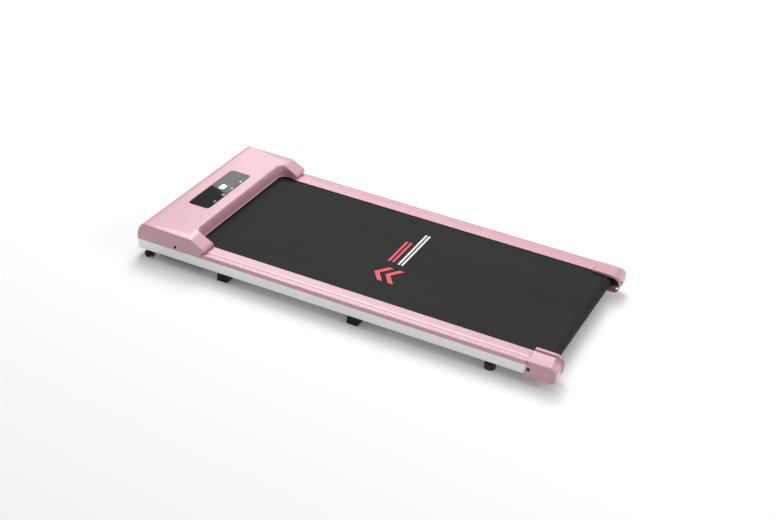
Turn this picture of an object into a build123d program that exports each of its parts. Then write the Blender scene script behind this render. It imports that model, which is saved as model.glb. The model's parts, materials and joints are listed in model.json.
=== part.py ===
from build123d import *
import os

# Slim walking treadmill: a belt running over a wooden deck between two steel side rails,
# with a motor bay under a low hood at the front. Millimetres.
# The origin is on the floor under the middle of the machine. +X runs from the hood to the
# open rear end, +Y is the walker's right-hand side and +Z is up.

os.makedirs("parts", exist_ok=True)

# ---- Driving dimensions ---------------------------------------------------------------
LENGTH = 1071.5
WIDTH = 510.0
FLOOR_GAP = 22.0
FRAME_TOP = 47.6
COVER_TOP = 58.9
HOOD_EDGE_TOP = 88.9
HOOD_TOP = 91.4
BELT_WIDTH = 420.0
BELT_OPENING = 413.0
BELT_TOP = 56.0

STEEL = 1.5
PLASTIC = 2.4
BELT_THICKNESS = 1.6
ROLLER_RADIUS = 15.5
FACE_GAP = 0.3
SHAFT_GAP = 0.05

# ---- Places worked out from them ------------------------------------------------------
HALF_WIDTH = WIDTH / 2
HALF_BELT = BELT_WIDTH / 2
HALF_OPENING = BELT_OPENING / 2
SWITCH_PROUD = 3.0
FRONT = -LENGTH / 2 + SWITCH_PROUD
REAR = LENGTH / 2
SIDES = (("left", -1), ("right", 1))

BELT_INNER_RADIUS = ROLLER_RADIUS + FACE_GAP
BELT_OUTER_RADIUS = BELT_INNER_RADIUS + BELT_THICKNESS
DECK_TOP = BELT_TOP - BELT_THICKNESS
ROLLER_Z = DECK_TOP - BELT_INNER_RADIUS
FRONT_ROLLER_X = FRONT + 130
REAR_ROLLER_X = FRONT + 1028

RAIL_OUTER = HALF_WIDTH - 2.6
RAIL_WIDTH = 24.0
RAIL_INNER = RAIL_OUTER - RAIL_WIDTH
RAIL_MIDDLE = RAIL_OUTER - RAIL_WIDTH / 2
RAIL_TOP = 54.5
RAIL_HEIGHT = RAIL_TOP - FLOOR_GAP
RAIL_START = FRONT + 58.5
RAIL_END = REAR - 17

DECK_THICKNESS = 14.0
DECK_BOTTOM = DECK_TOP - DECK_THICKNESS
DECK_START = FRONT_ROLLER_X + 27
DECK_END = REAR_ROLLER_X - 32
DECK_HALF_WIDTH = 226.0
CUSHION_THICKNESS = 1.5
CROSS_TUBE_STATIONS = [FRONT + 215, FRONT + 455, FRONT + 695, FRONT + 935]
CROSS_TUBE_WIDTH = 30.0
CROSS_TUBE_TOP = DECK_BOTTOM - CUSHION_THICKNESS
CROSS_TUBE_HEIGHT = 14.2
DECK_SCREW_Y = 219.0
DECK_SCREW_RADIUS = 2.4
DECK_SCREW_HEAD = 4.6

FOOT_STATIONS = [FRONT + 219, FRONT + 561]
FOOT_INSET = 6.0
LEVELLER_X = FRONT + 911
LEVELLER_Y = 237.5
WHEEL_X = FRONT + 27
WHEEL_RADIUS = 9.2
WHEEL_Z = WHEEL_RADIUS + 0.4

AXLE_RADIUS = 6.0
BEARING_RADIUS = 13.0
BEARING_WIDTH = 8.0
PULLEY_LOW_Y = 214.5
PULLEY_HIGH_Y = 223.5
ROLLER_PULLEY_RADIUS = 21.0
MOTOR_PULLEY_RADIUS = 9.0
PULLEY_FLANGE = 1.2
FLANGE_WIDTH = 0.8
DRIVE_BELT_THICKNESS = 2.0

MOTOR_X = FRONT + 73
MOTOR_Z = 55.0
MOTOR_RADIUS = 29.5
MOTOR_FRONT_Y = 96.0
MOTOR_BACK_Y = 190.0
SHAFT_RADIUS = 4.0

COVER_START = FRONT + 176.4
COVER_END = FRONT + 996.0
COVER_OUTER = HALF_WIDTH - 0.4

CONSOLE_X = FRONT + 77
CONSOLE_LENGTH = 57.0
CONSOLE_WIDTH = 211.0
CONSOLE_CORNER = 9.0
LENS_THICKNESS = 1.6

CAP_TOP = COVER_TOP + 0.4
CAP_BOTTOM = 18.5
CAP_START = FRONT + 996.5
FIN_TOP = CAP_TOP + 5.2
FIN_INNER = 197.5
BOLT_Y = 217.0
BOLT_RADIUS = 3.0

INLET_Y = -150.0
SWITCH_Y = -105.0
BREAKER_Y = -78.0
PANEL_Z = 35.4


def save(piece, name):
    """Label a finished piece and write it to its own file."""
    piece.part.label = name
    export_step(piece.part, f"parts/{name}.step")


def side_plane(y):
    """Sketch plane across the machine at y: its x runs along +X, its y along +Z."""
    return Plane.XZ.offset(-y)


def side_span(side, inner, outer):
    """Sketch plane and extrusion for a piece between two distances from the middle."""
    low, high = sorted((side * inner, side * outer))
    return side_plane(high), high - low


# ---- Frame ----------------------------------------------------------------------------
HOOD_SCREW_X = FRONT + 106
HOOD_SCREW_Z = 56.0
TAB_WIDTH = 16.0
TAB_TOP = 62.0
SCREW_RADIUS = 2.0
SCREW_HEAD_RADIUS = 3.6
SCREW_RECESS = 1.8
CAP_SCREW_X = FRONT + 1003
CAP_SCREW_Z = 38.0

for side_name, side in SIDES:
    with BuildPart() as side_rail:
        with BuildSketch(Plane.YZ.offset(RAIL_START)):
            with Locations((side * RAIL_MIDDLE, FLOOR_GAP + RAIL_HEIGHT / 2)):
                RectangleRounded(RAIL_WIDTH, RAIL_HEIGHT, 2.5)
                RectangleRounded(RAIL_WIDTH - 2 * STEEL, RAIL_HEIGHT - 2 * STEEL, 1.0,
                                 mode=Mode.SUBTRACT)
        extrude(amount=RAIL_END - RAIL_START)
        # Weld tab that the hood's side screw goes into
        tab_plane, tab_width = side_span(side, RAIL_OUTER - 3, RAIL_OUTER)
        with BuildSketch(tab_plane):
            with Locations((HOOD_SCREW_X, (RAIL_TOP - 2 + TAB_TOP) / 2)):
                Rectangle(TAB_WIDTH, TAB_TOP - RAIL_TOP + 2)
        extrude(amount=tab_width)
        screw_plane, screw_depth = side_span(side, RAIL_OUTER - 4, RAIL_OUTER)
        with BuildSketch(screw_plane):
            with Locations((HOOD_SCREW_X, HOOD_SCREW_Z), (CAP_SCREW_X, CAP_SCREW_Z)):
                Circle(SCREW_RADIUS + 0.1)
        extrude(amount=screw_depth, mode=Mode.SUBTRACT)
        with Locations((LEVELLER_X, side * LEVELLER_Y, FLOOR_GAP + STEEL)):
            Hole(4.4, depth=STEEL)
    save(side_rail, f"{side_name}_side_rail")

TRAY_CORNER = 5.0
TRAY_END = FRONT_ROLLER_X - 25
TRAY_TOP = FRAME_TOP - 0.2
INLET_CUT = (27.2, 19.8)
SWITCH_CUT = (19.2, 13.2)
BREAKER_CUT_RADIUS = 5.2

with BuildPart() as front_cross_member:
    with BuildSketch(Plane.XY.offset(FLOOR_GAP)):
        with BuildLine():
            FilletPolyline((FRONT, -RAIL_OUTER), (RAIL_START, -RAIL_OUTER),
                           (RAIL_START, RAIL_OUTER), (FRONT, RAIL_OUTER),
                           radius=[TRAY_CORNER, 0, 0, TRAY_CORNER], close=True)
        make_face()
    extrude(amount=TRAY_TOP - FLOOR_GAP)
    with BuildSketch(Plane.XY.offset(FLOOR_GAP + STEEL)):
        with BuildLine():
            FilletPolyline((FRONT + STEEL, STEEL - RAIL_OUTER), (RAIL_START + 5, STEEL - RAIL_OUTER),
                           (RAIL_START + 5, RAIL_OUTER - STEEL), (FRONT + STEEL, RAIL_OUTER - STEEL),
                           radius=[TRAY_CORNER - STEEL, 0, 0, TRAY_CORNER - STEEL], close=True)
        make_face()
    extrude(amount=TRAY_TOP, mode=Mode.SUBTRACT)
    with BuildSketch(Plane.XY.offset(FLOOR_GAP)):
        with Locations(((RAIL_START + TRAY_END) / 2, 0)):
            Rectangle(TRAY_END - RAIL_START, 2 * RAIL_INNER)
    extrude(amount=STEEL)
    # Openings in the front wall for the power inlet, the switch and the breaker
    with BuildSketch(Plane.YZ.offset(FRONT - 1)):
        with Locations((INLET_Y, PANEL_Z)):
            Rectangle(*INLET_CUT)
        with Locations((SWITCH_Y, PANEL_Z)):
            Rectangle(*SWITCH_CUT)
        with Locations((BREAKER_Y, PANEL_Z)):
            Circle(BREAKER_CUT_RADIUS)
    extrude(amount=STEEL + 2, mode=Mode.SUBTRACT)
save(front_cross_member, "front_cross_member")

deck_screw_places = [(x, side * DECK_SCREW_Y) for x in CROSS_TUBE_STATIONS for _, side in SIDES]

with BuildPart() as deck_cross_tubes:
    with BuildSketch(side_plane(RAIL_INNER)):
        with Locations([(x, CROSS_TUBE_TOP - CROSS_TUBE_HEIGHT / 2) for x in CROSS_TUBE_STATIONS]):
            RectangleRounded(CROSS_TUBE_WIDTH, CROSS_TUBE_HEIGHT, 2.0)
            RectangleRounded(CROSS_TUBE_WIDTH - 2 * STEEL, CROSS_TUBE_HEIGHT - 2 * STEEL, 0.8,
                             mode=Mode.SUBTRACT)
    extrude(amount=2 * RAIL_INNER)
    with BuildSketch(Plane.XY.offset(CROSS_TUBE_TOP)):
        with Locations(deck_screw_places):
            Circle(DECK_SCREW_RADIUS + 0.2)
    extrude(amount=-2 * STEEL, mode=Mode.SUBTRACT)
save(deck_cross_tubes, "deck_cross_tubes")

BRACKET_INNER = 225.0
BRACKET_BOTTOM = 24.0
BRACKET_TOP = 54.0

with BuildPart() as front_roller_brackets:
    for _, side in SIDES:
        bracket_plane, bracket_width = side_span(side, BRACKET_INNER, RAIL_INNER)
        with BuildSketch(bracket_plane):
            with Locations((FRONT_ROLLER_X, (BRACKET_BOTTOM + BRACKET_TOP) / 2)):
                RectangleRounded(30, BRACKET_TOP - BRACKET_BOTTOM, 3)
            with Locations((FRONT_ROLLER_X, ROLLER_Z)):
                Circle(AXLE_RADIUS + SHAFT_GAP, mode=Mode.SUBTRACT)
        extrude(amount=bracket_width)
save(front_roller_brackets, "front_roller_brackets")

SLOT_INWARD = 6.0
SLOT_OUTWARD = 2.0
REAR_BRACKET_INNER = 223.5
END_PLATE_X = REAR_ROLLER_X + 22
END_PLATE_THICKNESS = 3.0
END_PLATE_INNER = 210.5
END_PLATE_HEIGHT = 23.0

with BuildPart() as rear_roller_brackets:
    for _, side in SIDES:
        guide_plane, guide_width = side_span(side, REAR_BRACKET_INNER, RAIL_INNER)
        with BuildSketch(guide_plane):
            with Locations(((DECK_END + END_PLATE_X) / 2 + 1, (BRACKET_BOTTOM + BRACKET_TOP) / 2)):
                Rectangle(END_PLATE_X - DECK_END - 2, BRACKET_TOP - BRACKET_BOTTOM)
            with Locations((REAR_ROLLER_X - (SLOT_INWARD - SLOT_OUTWARD) / 2, ROLLER_Z)):
                Rectangle(2 * AXLE_RADIUS + SLOT_INWARD + SLOT_OUTWARD + 2, 2 * AXLE_RADIUS + 0.1,
                          mode=Mode.SUBTRACT)
        extrude(amount=guide_width)
        plate_middle = side * (END_PLATE_INNER + RAIL_INNER) / 2
        with BuildSketch(Plane.YZ.offset(END_PLATE_X)):
            with Locations((plate_middle, ROLLER_Z)):
                Rectangle(RAIL_INNER - END_PLATE_INNER, END_PLATE_HEIGHT)
            with Locations((side * BOLT_Y, ROLLER_Z)):
                Circle(BOLT_RADIUS + FACE_GAP, mode=Mode.SUBTRACT)
        extrude(amount=END_PLATE_THICKNESS)
save(rear_roller_brackets, "rear_roller_brackets")

PAN_START = FRONT + 58
PAN_END = FRONT + 185
PAN_BOTTOM = 12.5
PAN_HALF_WIDTH = 249.0
PAN_SLOPE = 7.0
PAN_WALL = 1.6

with BuildPart() as belly_pan:
    with BuildSketch(side_plane(PAN_HALF_WIDTH)):
        with BuildLine():
            FilletPolyline((PAN_START, FLOOR_GAP), (PAN_START + PAN_SLOPE, PAN_BOTTOM),
                           (PAN_END - PAN_SLOPE, PAN_BOTTOM), (PAN_END, FLOOR_GAP),
                           radius=[0, 3, 3, 0], close=True)
        make_face()
    extrude(amount=2 * PAN_HALF_WIDTH)
    with BuildSketch(side_plane(PAN_HALF_WIDTH - PAN_WALL)):
        with BuildLine():
            FilletPolyline((PAN_START + PAN_WALL, FLOOR_GAP + 1),
                           (PAN_START + PAN_SLOPE + 1, PAN_BOTTOM + PAN_WALL),
                           (PAN_END - PAN_SLOPE - 1, PAN_BOTTOM + PAN_WALL),
                           (PAN_END - PAN_WALL, FLOOR_GAP + 1),
                           radius=[0, 2, 2, 0], close=True)
        make_face()
    extrude(amount=2 * (PAN_HALF_WIDTH - PAN_WALL), mode=Mode.SUBTRACT)
    # The rear wall is lower where the belt's return run passes over it
    with BuildSketch(Plane.YZ.offset(PAN_END - PAN_SLOPE - 4)):
        with Locations((0, FLOOR_GAP)):
            Rectangle(BELT_WIDTH + 8, 7)
    extrude(amount=2 * PAN_SLOPE, mode=Mode.SUBTRACT)
save(belly_pan, "belly_pan")

# ---- Deck and its fixings -------------------------------------------------------------
with BuildPart() as running_deck:
    with BuildSketch(Plane.XY.offset(DECK_BOTTOM)):
        with Locations(((DECK_START + DECK_END) / 2, 0)):
            RectangleRounded(DECK_END - DECK_START, 2 * DECK_HALF_WIDTH, 4)
    extrude(amount=DECK_THICKNESS)
    front_and_back = running_deck.edges().filter_by(Axis.Y).group_by(Axis.Z)[-1]
    fillet(front_and_back, 3.0)
    with Locations([(x, y, DECK_TOP) for x, y in deck_screw_places]):
        CounterSinkHole(DECK_SCREW_RADIUS + 0.2, DECK_SCREW_HEAD + 0.3, counter_sink_angle=90)
save(running_deck, "running_deck")

with BuildPart() as deck_cushions:
    with BuildSketch(Plane.XY.offset(CROSS_TUBE_TOP)):
        with Locations(deck_screw_places):
            RectangleRounded(28, 13, 3)
            Circle(DECK_SCREW_RADIUS + 0.2, mode=Mode.SUBTRACT)
    extrude(amount=CUSHION_THICKNESS)
save(deck_cushions, "deck_cushions")

DECK_SCREW_TIP = CROSS_TUBE_TOP - 6

with BuildPart() as deck_screws:
    with BuildSketch(Plane.XY.offset(DECK_SCREW_TIP)):
        with Locations(deck_screw_places):
            Circle(DECK_SCREW_RADIUS)
    extrude(amount=DECK_TOP - 1 - DECK_SCREW_TIP)
    head_height = DECK_SCREW_HEAD - DECK_SCREW_RADIUS
    with Locations([(x, y, DECK_TOP - head_height / 2 - 0.1) for x, y in deck_screw_places]):
        Cone(DECK_SCREW_RADIUS, DECK_SCREW_HEAD, head_height)
save(deck_screws, "deck_screws")

with BuildPart() as running_belt:
    belt_span = REAR_ROLLER_X - FRONT_ROLLER_X
    with BuildSketch(side_plane(HALF_BELT)):
        with Locations(((FRONT_ROLLER_X + REAR_ROLLER_X) / 2, ROLLER_Z)):
            SlotCenterToCenter(belt_span, 2 * BELT_OUTER_RADIUS)
            SlotCenterToCenter(belt_span, 2 * BELT_INNER_RADIUS, mode=Mode.SUBTRACT)
    extrude(amount=BELT_WIDTH)
save(running_belt, "running_belt")

# ---- Rollers --------------------------------------------------------------------------
ROLLER_HALF_LENGTH = 210.0
ROLLER_BORE = BEARING_RADIUS
BEARING_INSET = 1.0
BEARING_OUTER_Y = ROLLER_HALF_LENGTH - BEARING_INSET


def build_roller_tube(x, name):
    """Steel tube that carries the belt, open at both ends."""
    with BuildPart() as tube:
        with BuildSketch(side_plane(ROLLER_HALF_LENGTH)):
            with Locations((x, ROLLER_Z)):
                Circle(ROLLER_RADIUS)
                Circle(ROLLER_BORE, mode=Mode.SUBTRACT)
        extrude(amount=2 * ROLLER_HALF_LENGTH)
    save(tube, name)


def build_roller_bearings(x, name):
    """A ball bearing in each end of a roller tube, running on its axle."""
    with BuildPart() as bearings:
        for _, side in SIDES:
            plane, width = side_span(side, BEARING_OUTER_Y - BEARING_WIDTH, BEARING_OUTER_Y)
            with BuildSketch(plane):
                with Locations((x, ROLLER_Z)):
                    Circle(BEARING_RADIUS)
                    Circle(AXLE_RADIUS + SHAFT_GAP, mode=Mode.SUBTRACT)
            extrude(amount=width)
    save(bearings, name)


build_roller_tube(FRONT_ROLLER_X, "front_roller_tube")
build_roller_bearings(FRONT_ROLLER_X, "front_roller_bearings")
build_roller_tube(REAR_ROLLER_X, "rear_roller_tube")
build_roller_bearings(REAR_ROLLER_X, "rear_roller_bearings")

FRONT_AXLE_HALF = RAIL_INNER - 0.1
REAR_AXLE_HALF = RAIL_INNER - FACE_GAP

with BuildPart() as front_roller_axle:
    with BuildSketch(side_plane(FRONT_AXLE_HALF)):
        with Locations((FRONT_ROLLER_X, ROLLER_Z)):
            Circle(AXLE_RADIUS)
    extrude(amount=2 * FRONT_AXLE_HALF)
    chamfer(front_roller_axle.faces().filter_by(Axis.Y).edges(), 0.6)
save(front_roller_axle, "front_roller_axle")

with BuildPart() as rear_roller_axle:
    with BuildSketch(side_plane(REAR_AXLE_HALF)):
        with Locations((REAR_ROLLER_X, ROLLER_Z)):
            Circle(AXLE_RADIUS)
    extrude(amount=2 * REAR_AXLE_HALF)
    # Tapped cross holes for the tension bolts
    with BuildSketch(Plane.YZ.offset(REAR_ROLLER_X - AXLE_RADIUS - 1)):
        with Locations((-BOLT_Y, ROLLER_Z), (BOLT_Y, ROLLER_Z)):
            Circle(BOLT_RADIUS + SHAFT_GAP)
    extrude(amount=2 * AXLE_RADIUS + 2, mode=Mode.SUBTRACT)
save(rear_roller_axle, "rear_roller_axle")

BOLT_LENGTH = 42.0
BOLT_HEAD_HEIGHT = 4.0
BOLT_HEAD_X = END_PLATE_X + END_PLATE_THICKNESS + FACE_GAP

for side_name, side in SIDES:
    with BuildPart() as tension_bolt:
        with BuildSketch(Plane.YZ.offset(BOLT_HEAD_X)):
            with Locations((side * BOLT_Y, ROLLER_Z)):
                RegularPolygon(5.0, 6, major_radius=False)
        extrude(amount=BOLT_HEAD_HEIGHT)
        with BuildSketch(Plane.YZ.offset(BOLT_HEAD_X)):
            with Locations((side * BOLT_Y, ROLLER_Z)):
                Circle(BOLT_RADIUS)
        extrude(amount=-BOLT_LENGTH)
    save(tension_bolt, f"{side_name}_tension_bolt")

with BuildPart() as front_roller_pulley:
    pulley_width = PULLEY_HIGH_Y - PULLEY_LOW_Y
    with BuildSketch(side_plane(PULLEY_HIGH_Y)):
        with Locations((FRONT_ROLLER_X, ROLLER_Z)):
            Circle(ROLLER_PULLEY_RADIUS)
            Circle(AXLE_RADIUS + FACE_GAP, mode=Mode.SUBTRACT)
    extrude(amount=pulley_width)
    for flange_y in (PULLEY_HIGH_Y, PULLEY_LOW_Y + FLANGE_WIDTH):
        with BuildSketch(side_plane(flange_y)):
            with Locations((FRONT_ROLLER_X, ROLLER_Z)):
                Circle(ROLLER_PULLEY_RADIUS + PULLEY_FLANGE)
                Circle(AXLE_RADIUS + FACE_GAP, mode=Mode.SUBTRACT)
        extrude(amount=FLANGE_WIDTH)
    with BuildSketch(side_plane(PULLEY_LOW_Y)):
        with Locations((FRONT_ROLLER_X, ROLLER_Z)):
            Circle(ROLLER_RADIUS)
            Circle(AXLE_RADIUS + FACE_GAP, mode=Mode.SUBTRACT)
    extrude(amount=PULLEY_LOW_Y - ROLLER_HALF_LENGTH)
save(front_roller_pulley, "front_roller_pulley")

# ---- Motor ----------------------------------------------------------------------------
CAN_WALL = 2.5
BELL_THICKNESS = 6.0
MOTOR_BEARING_RADIUS = 11.0
MOTOR_BEARING_WIDTH = 7.0
MAGNET_THICKNESS = 3.0
ARMATURE_RADIUS = MOTOR_RADIUS - CAN_WALL - MAGNET_THICKNESS - 1.0
FAN_RADIUS = 22.0


def motor_ring(low_y, high_y, outer, inner, mode=Mode.ADD):
    """Add a ring about the motor's axis to the part being built."""
    with BuildSketch(side_plane(high_y), mode=Mode.PRIVATE) as ring:
        with Locations((MOTOR_X, MOTOR_Z)):
            Circle(outer)
            if inner:
                Circle(inner, mode=Mode.SUBTRACT)
    extrude(ring.sketch, amount=high_y - low_y, mode=mode)


with BuildPart() as motor_can:
    motor_ring(MOTOR_FRONT_Y, MOTOR_BACK_Y, MOTOR_RADIUS, MOTOR_RADIUS - CAN_WALL)
save(motor_can, "motor_can")

with BuildPart() as motor_end_bells:
    motor_ring(MOTOR_FRONT_Y - BELL_THICKNESS, MOTOR_FRONT_Y, MOTOR_RADIUS, SHAFT_RADIUS + 1)
    motor_ring(MOTOR_BACK_Y, MOTOR_BACK_Y + BELL_THICKNESS, MOTOR_RADIUS, SHAFT_RADIUS + 1)
    motor_ring(MOTOR_FRONT_Y, MOTOR_FRONT_Y + MOTOR_BEARING_WIDTH, MOTOR_BEARING_RADIUS + 3,
               MOTOR_BEARING_RADIUS)
    motor_ring(MOTOR_BACK_Y - MOTOR_BEARING_WIDTH, MOTOR_BACK_Y, MOTOR_BEARING_RADIUS + 3,
               MOTOR_BEARING_RADIUS)
save(motor_end_bells, "motor_end_bells")

with BuildPart() as motor_bearings:
    motor_ring(MOTOR_FRONT_Y, MOTOR_FRONT_Y + MOTOR_BEARING_WIDTH, MOTOR_BEARING_RADIUS,
               SHAFT_RADIUS + SHAFT_GAP)
    motor_ring(MOTOR_BACK_Y - MOTOR_BEARING_WIDTH, MOTOR_BACK_Y, MOTOR_BEARING_RADIUS,
               SHAFT_RADIUS + SHAFT_GAP)
save(motor_bearings, "motor_bearings")

with BuildPart() as motor_magnets:
    motor_ring(MOTOR_FRONT_Y + 12, MOTOR_BACK_Y - 12, MOTOR_RADIUS - CAN_WALL,
               MOTOR_RADIUS - CAN_WALL - MAGNET_THICKNESS)
    with BuildSketch(side_plane(MOTOR_BACK_Y)):
        with Locations((MOTOR_X, MOTOR_Z)):
            Rectangle(2 * MOTOR_RADIUS, 14)
    extrude(amount=MOTOR_BACK_Y - MOTOR_FRONT_Y, mode=Mode.SUBTRACT)
save(motor_magnets, "motor_magnets")

with BuildPart() as motor_shaft:
    motor_ring(MOTOR_FRONT_Y - 24, PULLEY_HIGH_Y + 1, SHAFT_RADIUS, 0)
save(motor_shaft, "motor_shaft")

with BuildPart() as motor_armature:
    motor_ring(MOTOR_FRONT_Y + 14, MOTOR_BACK_Y - 16, ARMATURE_RADIUS, SHAFT_RADIUS)
    motor_ring(MOTOR_BACK_Y - 16, MOTOR_BACK_Y - 9, ARMATURE_RADIUS / 2, SHAFT_RADIUS)
save(motor_armature, "motor_armature")

FAN_BLADES = 8
FAN_LOW_Y = MOTOR_FRONT_Y - BELL_THICKNESS - 14
FAN_HIGH_Y = MOTOR_FRONT_Y - BELL_THICKNESS - 3

with BuildPart() as motor_fan:
    motor_ring(FAN_HIGH_Y - 2, FAN_HIGH_Y, FAN_RADIUS, SHAFT_RADIUS)
    motor_ring(FAN_LOW_Y, FAN_HIGH_Y - 2, SHAFT_RADIUS + 4, SHAFT_RADIUS)
    with BuildSketch(side_plane(FAN_HIGH_Y - 1)):
        with Locations((MOTOR_X, MOTOR_Z)):
            with PolarLocations((SHAFT_RADIUS + 3 + FAN_RADIUS) / 2, FAN_BLADES):
                Rectangle(FAN_RADIUS - SHAFT_RADIUS - 3, 1.6)
    extrude(amount=FAN_HIGH_Y - 1 - FAN_LOW_Y)
save(motor_fan, "motor_fan")

with BuildPart() as motor_pulley:
    motor_ring(PULLEY_LOW_Y - 4, PULLEY_HIGH_Y, MOTOR_PULLEY_RADIUS, SHAFT_RADIUS)
    for flange_y in (PULLEY_LOW_Y, PULLEY_HIGH_Y - FLANGE_WIDTH):
        motor_ring(flange_y, flange_y + FLANGE_WIDTH, MOTOR_PULLEY_RADIUS + PULLEY_FLANGE, SHAFT_RADIUS)
save(motor_pulley, "motor_pulley")

TRAY_FLOOR_TOP = FLOOR_GAP + STEEL
SADDLE_WIDTH = 46.0

with BuildPart() as motor_bracket:
    for low_y in (MOTOR_FRONT_Y + 12, MOTOR_BACK_Y - 24):
        with BuildSketch(side_plane(low_y + 12)):
            with Locations((MOTOR_X, (TRAY_FLOOR_TOP + MOTOR_Z - 18) / 2)):
                Rectangle(SADDLE_WIDTH, MOTOR_Z - 18 - TRAY_FLOOR_TOP)
            with Locations((MOTOR_X, MOTOR_Z)):
                Circle(MOTOR_RADIUS, mode=Mode.SUBTRACT)
        extrude(amount=12)
    with BuildSketch(Plane.XY.offset(TRAY_FLOOR_TOP)):
        with Locations((MOTOR_X, (MOTOR_FRONT_Y + MOTOR_BACK_Y) / 2)):
            Rectangle(SADDLE_WIDTH, MOTOR_BACK_Y - MOTOR_FRONT_Y)
    extrude(amount=1.5)
save(motor_bracket, "motor_bracket")

with BuildPart() as drive_belt:
    belt_width = PULLEY_HIGH_Y - PULLEY_LOW_Y - 2 * FLANGE_WIDTH - 0.6
    with BuildSketch(side_plane((PULLEY_HIGH_Y + PULLEY_LOW_Y + belt_width) / 2)):
        with BuildLine():
            CenterArc((FRONT_ROLLER_X, ROLLER_Z),
                      ROLLER_PULLEY_RADIUS + FACE_GAP + DRIVE_BELT_THICKNESS, 0, 360)
            CenterArc((MOTOR_X, MOTOR_Z), MOTOR_PULLEY_RADIUS + FACE_GAP + DRIVE_BELT_THICKNESS, 0, 360)
        make_hull()
    extrude(amount=belt_width)
    with BuildSketch(side_plane((PULLEY_HIGH_Y + PULLEY_LOW_Y + belt_width) / 2)):
        with BuildLine():
            CenterArc((FRONT_ROLLER_X, ROLLER_Z), ROLLER_PULLEY_RADIUS + FACE_GAP, 0, 360)
            CenterArc((MOTOR_X, MOTOR_Z), MOTOR_PULLEY_RADIUS + FACE_GAP, 0, 360)
        make_hull()
    extrude(amount=belt_width, mode=Mode.SUBTRACT)
save(drive_belt, "drive_belt")

# ---- Electronics in the motor bay -----------------------------------------------------
BOARD_X = FRONT + 62
BOARD_Y = -80.0
BOARD_SIZE = (74.0, 150.0)
BOARD_Z = 31.0
STANDOFF_RADIUS = 3.0

with BuildPart() as controller_board:
    with BuildSketch(Plane.XY.offset(BOARD_Z)):
        with Locations((BOARD_X, BOARD_Y)):
            Rectangle(*BOARD_SIZE)
    extrude(amount=1.6)
    with BuildSketch(Plane.XY.offset(TRAY_FLOOR_TOP)):
        with Locations((BOARD_X, BOARD_Y)):
            with GridLocations(BOARD_SIZE[0] - 10, BOARD_SIZE[1] - 10, 2, 2):
                Circle(STANDOFF_RADIUS)
    extrude(amount=BOARD_Z - TRAY_FLOOR_TOP)
    with BuildSketch(Plane.XY.offset(BOARD_Z + 1.6)):
        with Locations((BOARD_X - 22, BOARD_Y + 55), (BOARD_X + 22, BOARD_Y + 55),
                       (BOARD_X + 24, BOARD_Y - 30)):
            Rectangle(16, 20)
    extrude(amount=13)
save(controller_board, "controller_board")

HEATSINK_FINS = 7

with BuildPart() as controller_heatsink:
    with BuildSketch(Plane.XY.offset(BOARD_Z + 1.6)):
        with Locations((BOARD_X, BOARD_Y)):
            Rectangle(50, 40)
    extrude(amount=4)
    with BuildSketch(Plane.XY.offset(BOARD_Z + 5.6)):
        with Locations((BOARD_X, BOARD_Y)):
            with GridLocations(7.5, 1, HEATSINK_FINS, 1):
                Rectangle(2, 40)
    extrude(amount=22)
save(controller_heatsink, "controller_heatsink")

with BuildPart() as controller_capacitors:
    with BuildSketch(Plane.XY.offset(BOARD_Z + 1.6)):
        with Locations((BOARD_X - 20, BOARD_Y - 50), (BOARD_X + 6, BOARD_Y - 50)):
            Circle(11)
    extrude(amount=34)
    fillet(controller_capacitors.faces().sort_by(Axis.Z)[-2:].edges(), 1.5)
save(controller_capacitors, "controller_capacitors")

# ---- Power inlet, switch and breaker in the front wall --------------------------------
FLANGE_FRONT = FRONT - 1.4
INLET_FLANGE = (30.6, 23.4)
INLET_BODY = (27.0, 19.6)
INLET_CAVITY = (24.4, 16.8)
INLET_DEPTH = 21.0

with BuildPart() as power_inlet:
    with BuildSketch(Plane.YZ.offset(FLANGE_FRONT)):
        with Locations((INLET_Y, PANEL_Z)):
            RectangleRounded(*INLET_FLANGE, 1.5)
    extrude(amount=FRONT - FLANGE_FRONT)
    with BuildSketch(Plane.YZ.offset(FRONT)):
        with Locations((INLET_Y, PANEL_Z)):
            RectangleRounded(*INLET_BODY, 1.0)
    extrude(amount=INLET_DEPTH)
    with BuildSketch(Plane.YZ.offset(FLANGE_FRONT)):
        with Locations((INLET_Y, PANEL_Z)):
            RectangleRounded(*INLET_CAVITY, 2.5)
    extrude(amount=INLET_DEPTH - 3, mode=Mode.SUBTRACT)
    # Three flat contact blades standing in the socket
    with BuildSketch(Plane.YZ.offset(FRONT + 2)):
        with Locations((INLET_Y - 7, PANEL_Z - 2), (INLET_Y, PANEL_Z + 2), (INLET_Y + 7, PANEL_Z - 2)):
            Rectangle(2, 4)
    extrude(amount=INLET_DEPTH - 4)
save(power_inlet, "power_inlet")

SWITCH_FLANGE = (21.0, 15.0)
SWITCH_BODY = (19.0, 13.0)
SWITCH_OPENING = (17.0, 11.0)
SWITCH_DEPTH = 16.0
ROCKER_WIDTH = 10.4
ROCKER_HALF = 7.3
ROCKER_PIVOT_X = FRONT + 4.0
ROCKER_TILT = 10.0

with BuildPart() as switch_housing:
    with BuildSketch(Plane.YZ.offset(FLANGE_FRONT)):
        with Locations((SWITCH_Y, PANEL_Z)):
            RectangleRounded(*SWITCH_FLANGE, 1.0)
    extrude(amount=FRONT - FLANGE_FRONT)
    with BuildSketch(Plane.YZ.offset(FRONT)):
        with Locations((SWITCH_Y, PANEL_Z)):
            RectangleRounded(*SWITCH_BODY, 0.5)
    extrude(amount=SWITCH_DEPTH)
    with BuildSketch(Plane.YZ.offset(FLANGE_FRONT)):
        with Locations((SWITCH_Y, PANEL_Z)):
            Rectangle(*SWITCH_OPENING)
    extrude(amount=SWITCH_DEPTH - 2, mode=Mode.SUBTRACT)
    # Pivot pin across the opening, along Z
    with BuildSketch(Plane.XY.offset(PANEL_Z - SWITCH_OPENING[1] / 2)):
        with Locations((ROCKER_PIVOT_X, SWITCH_Y)):
            Circle(1.0)
    extrude(amount=SWITCH_OPENING[1])
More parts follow.
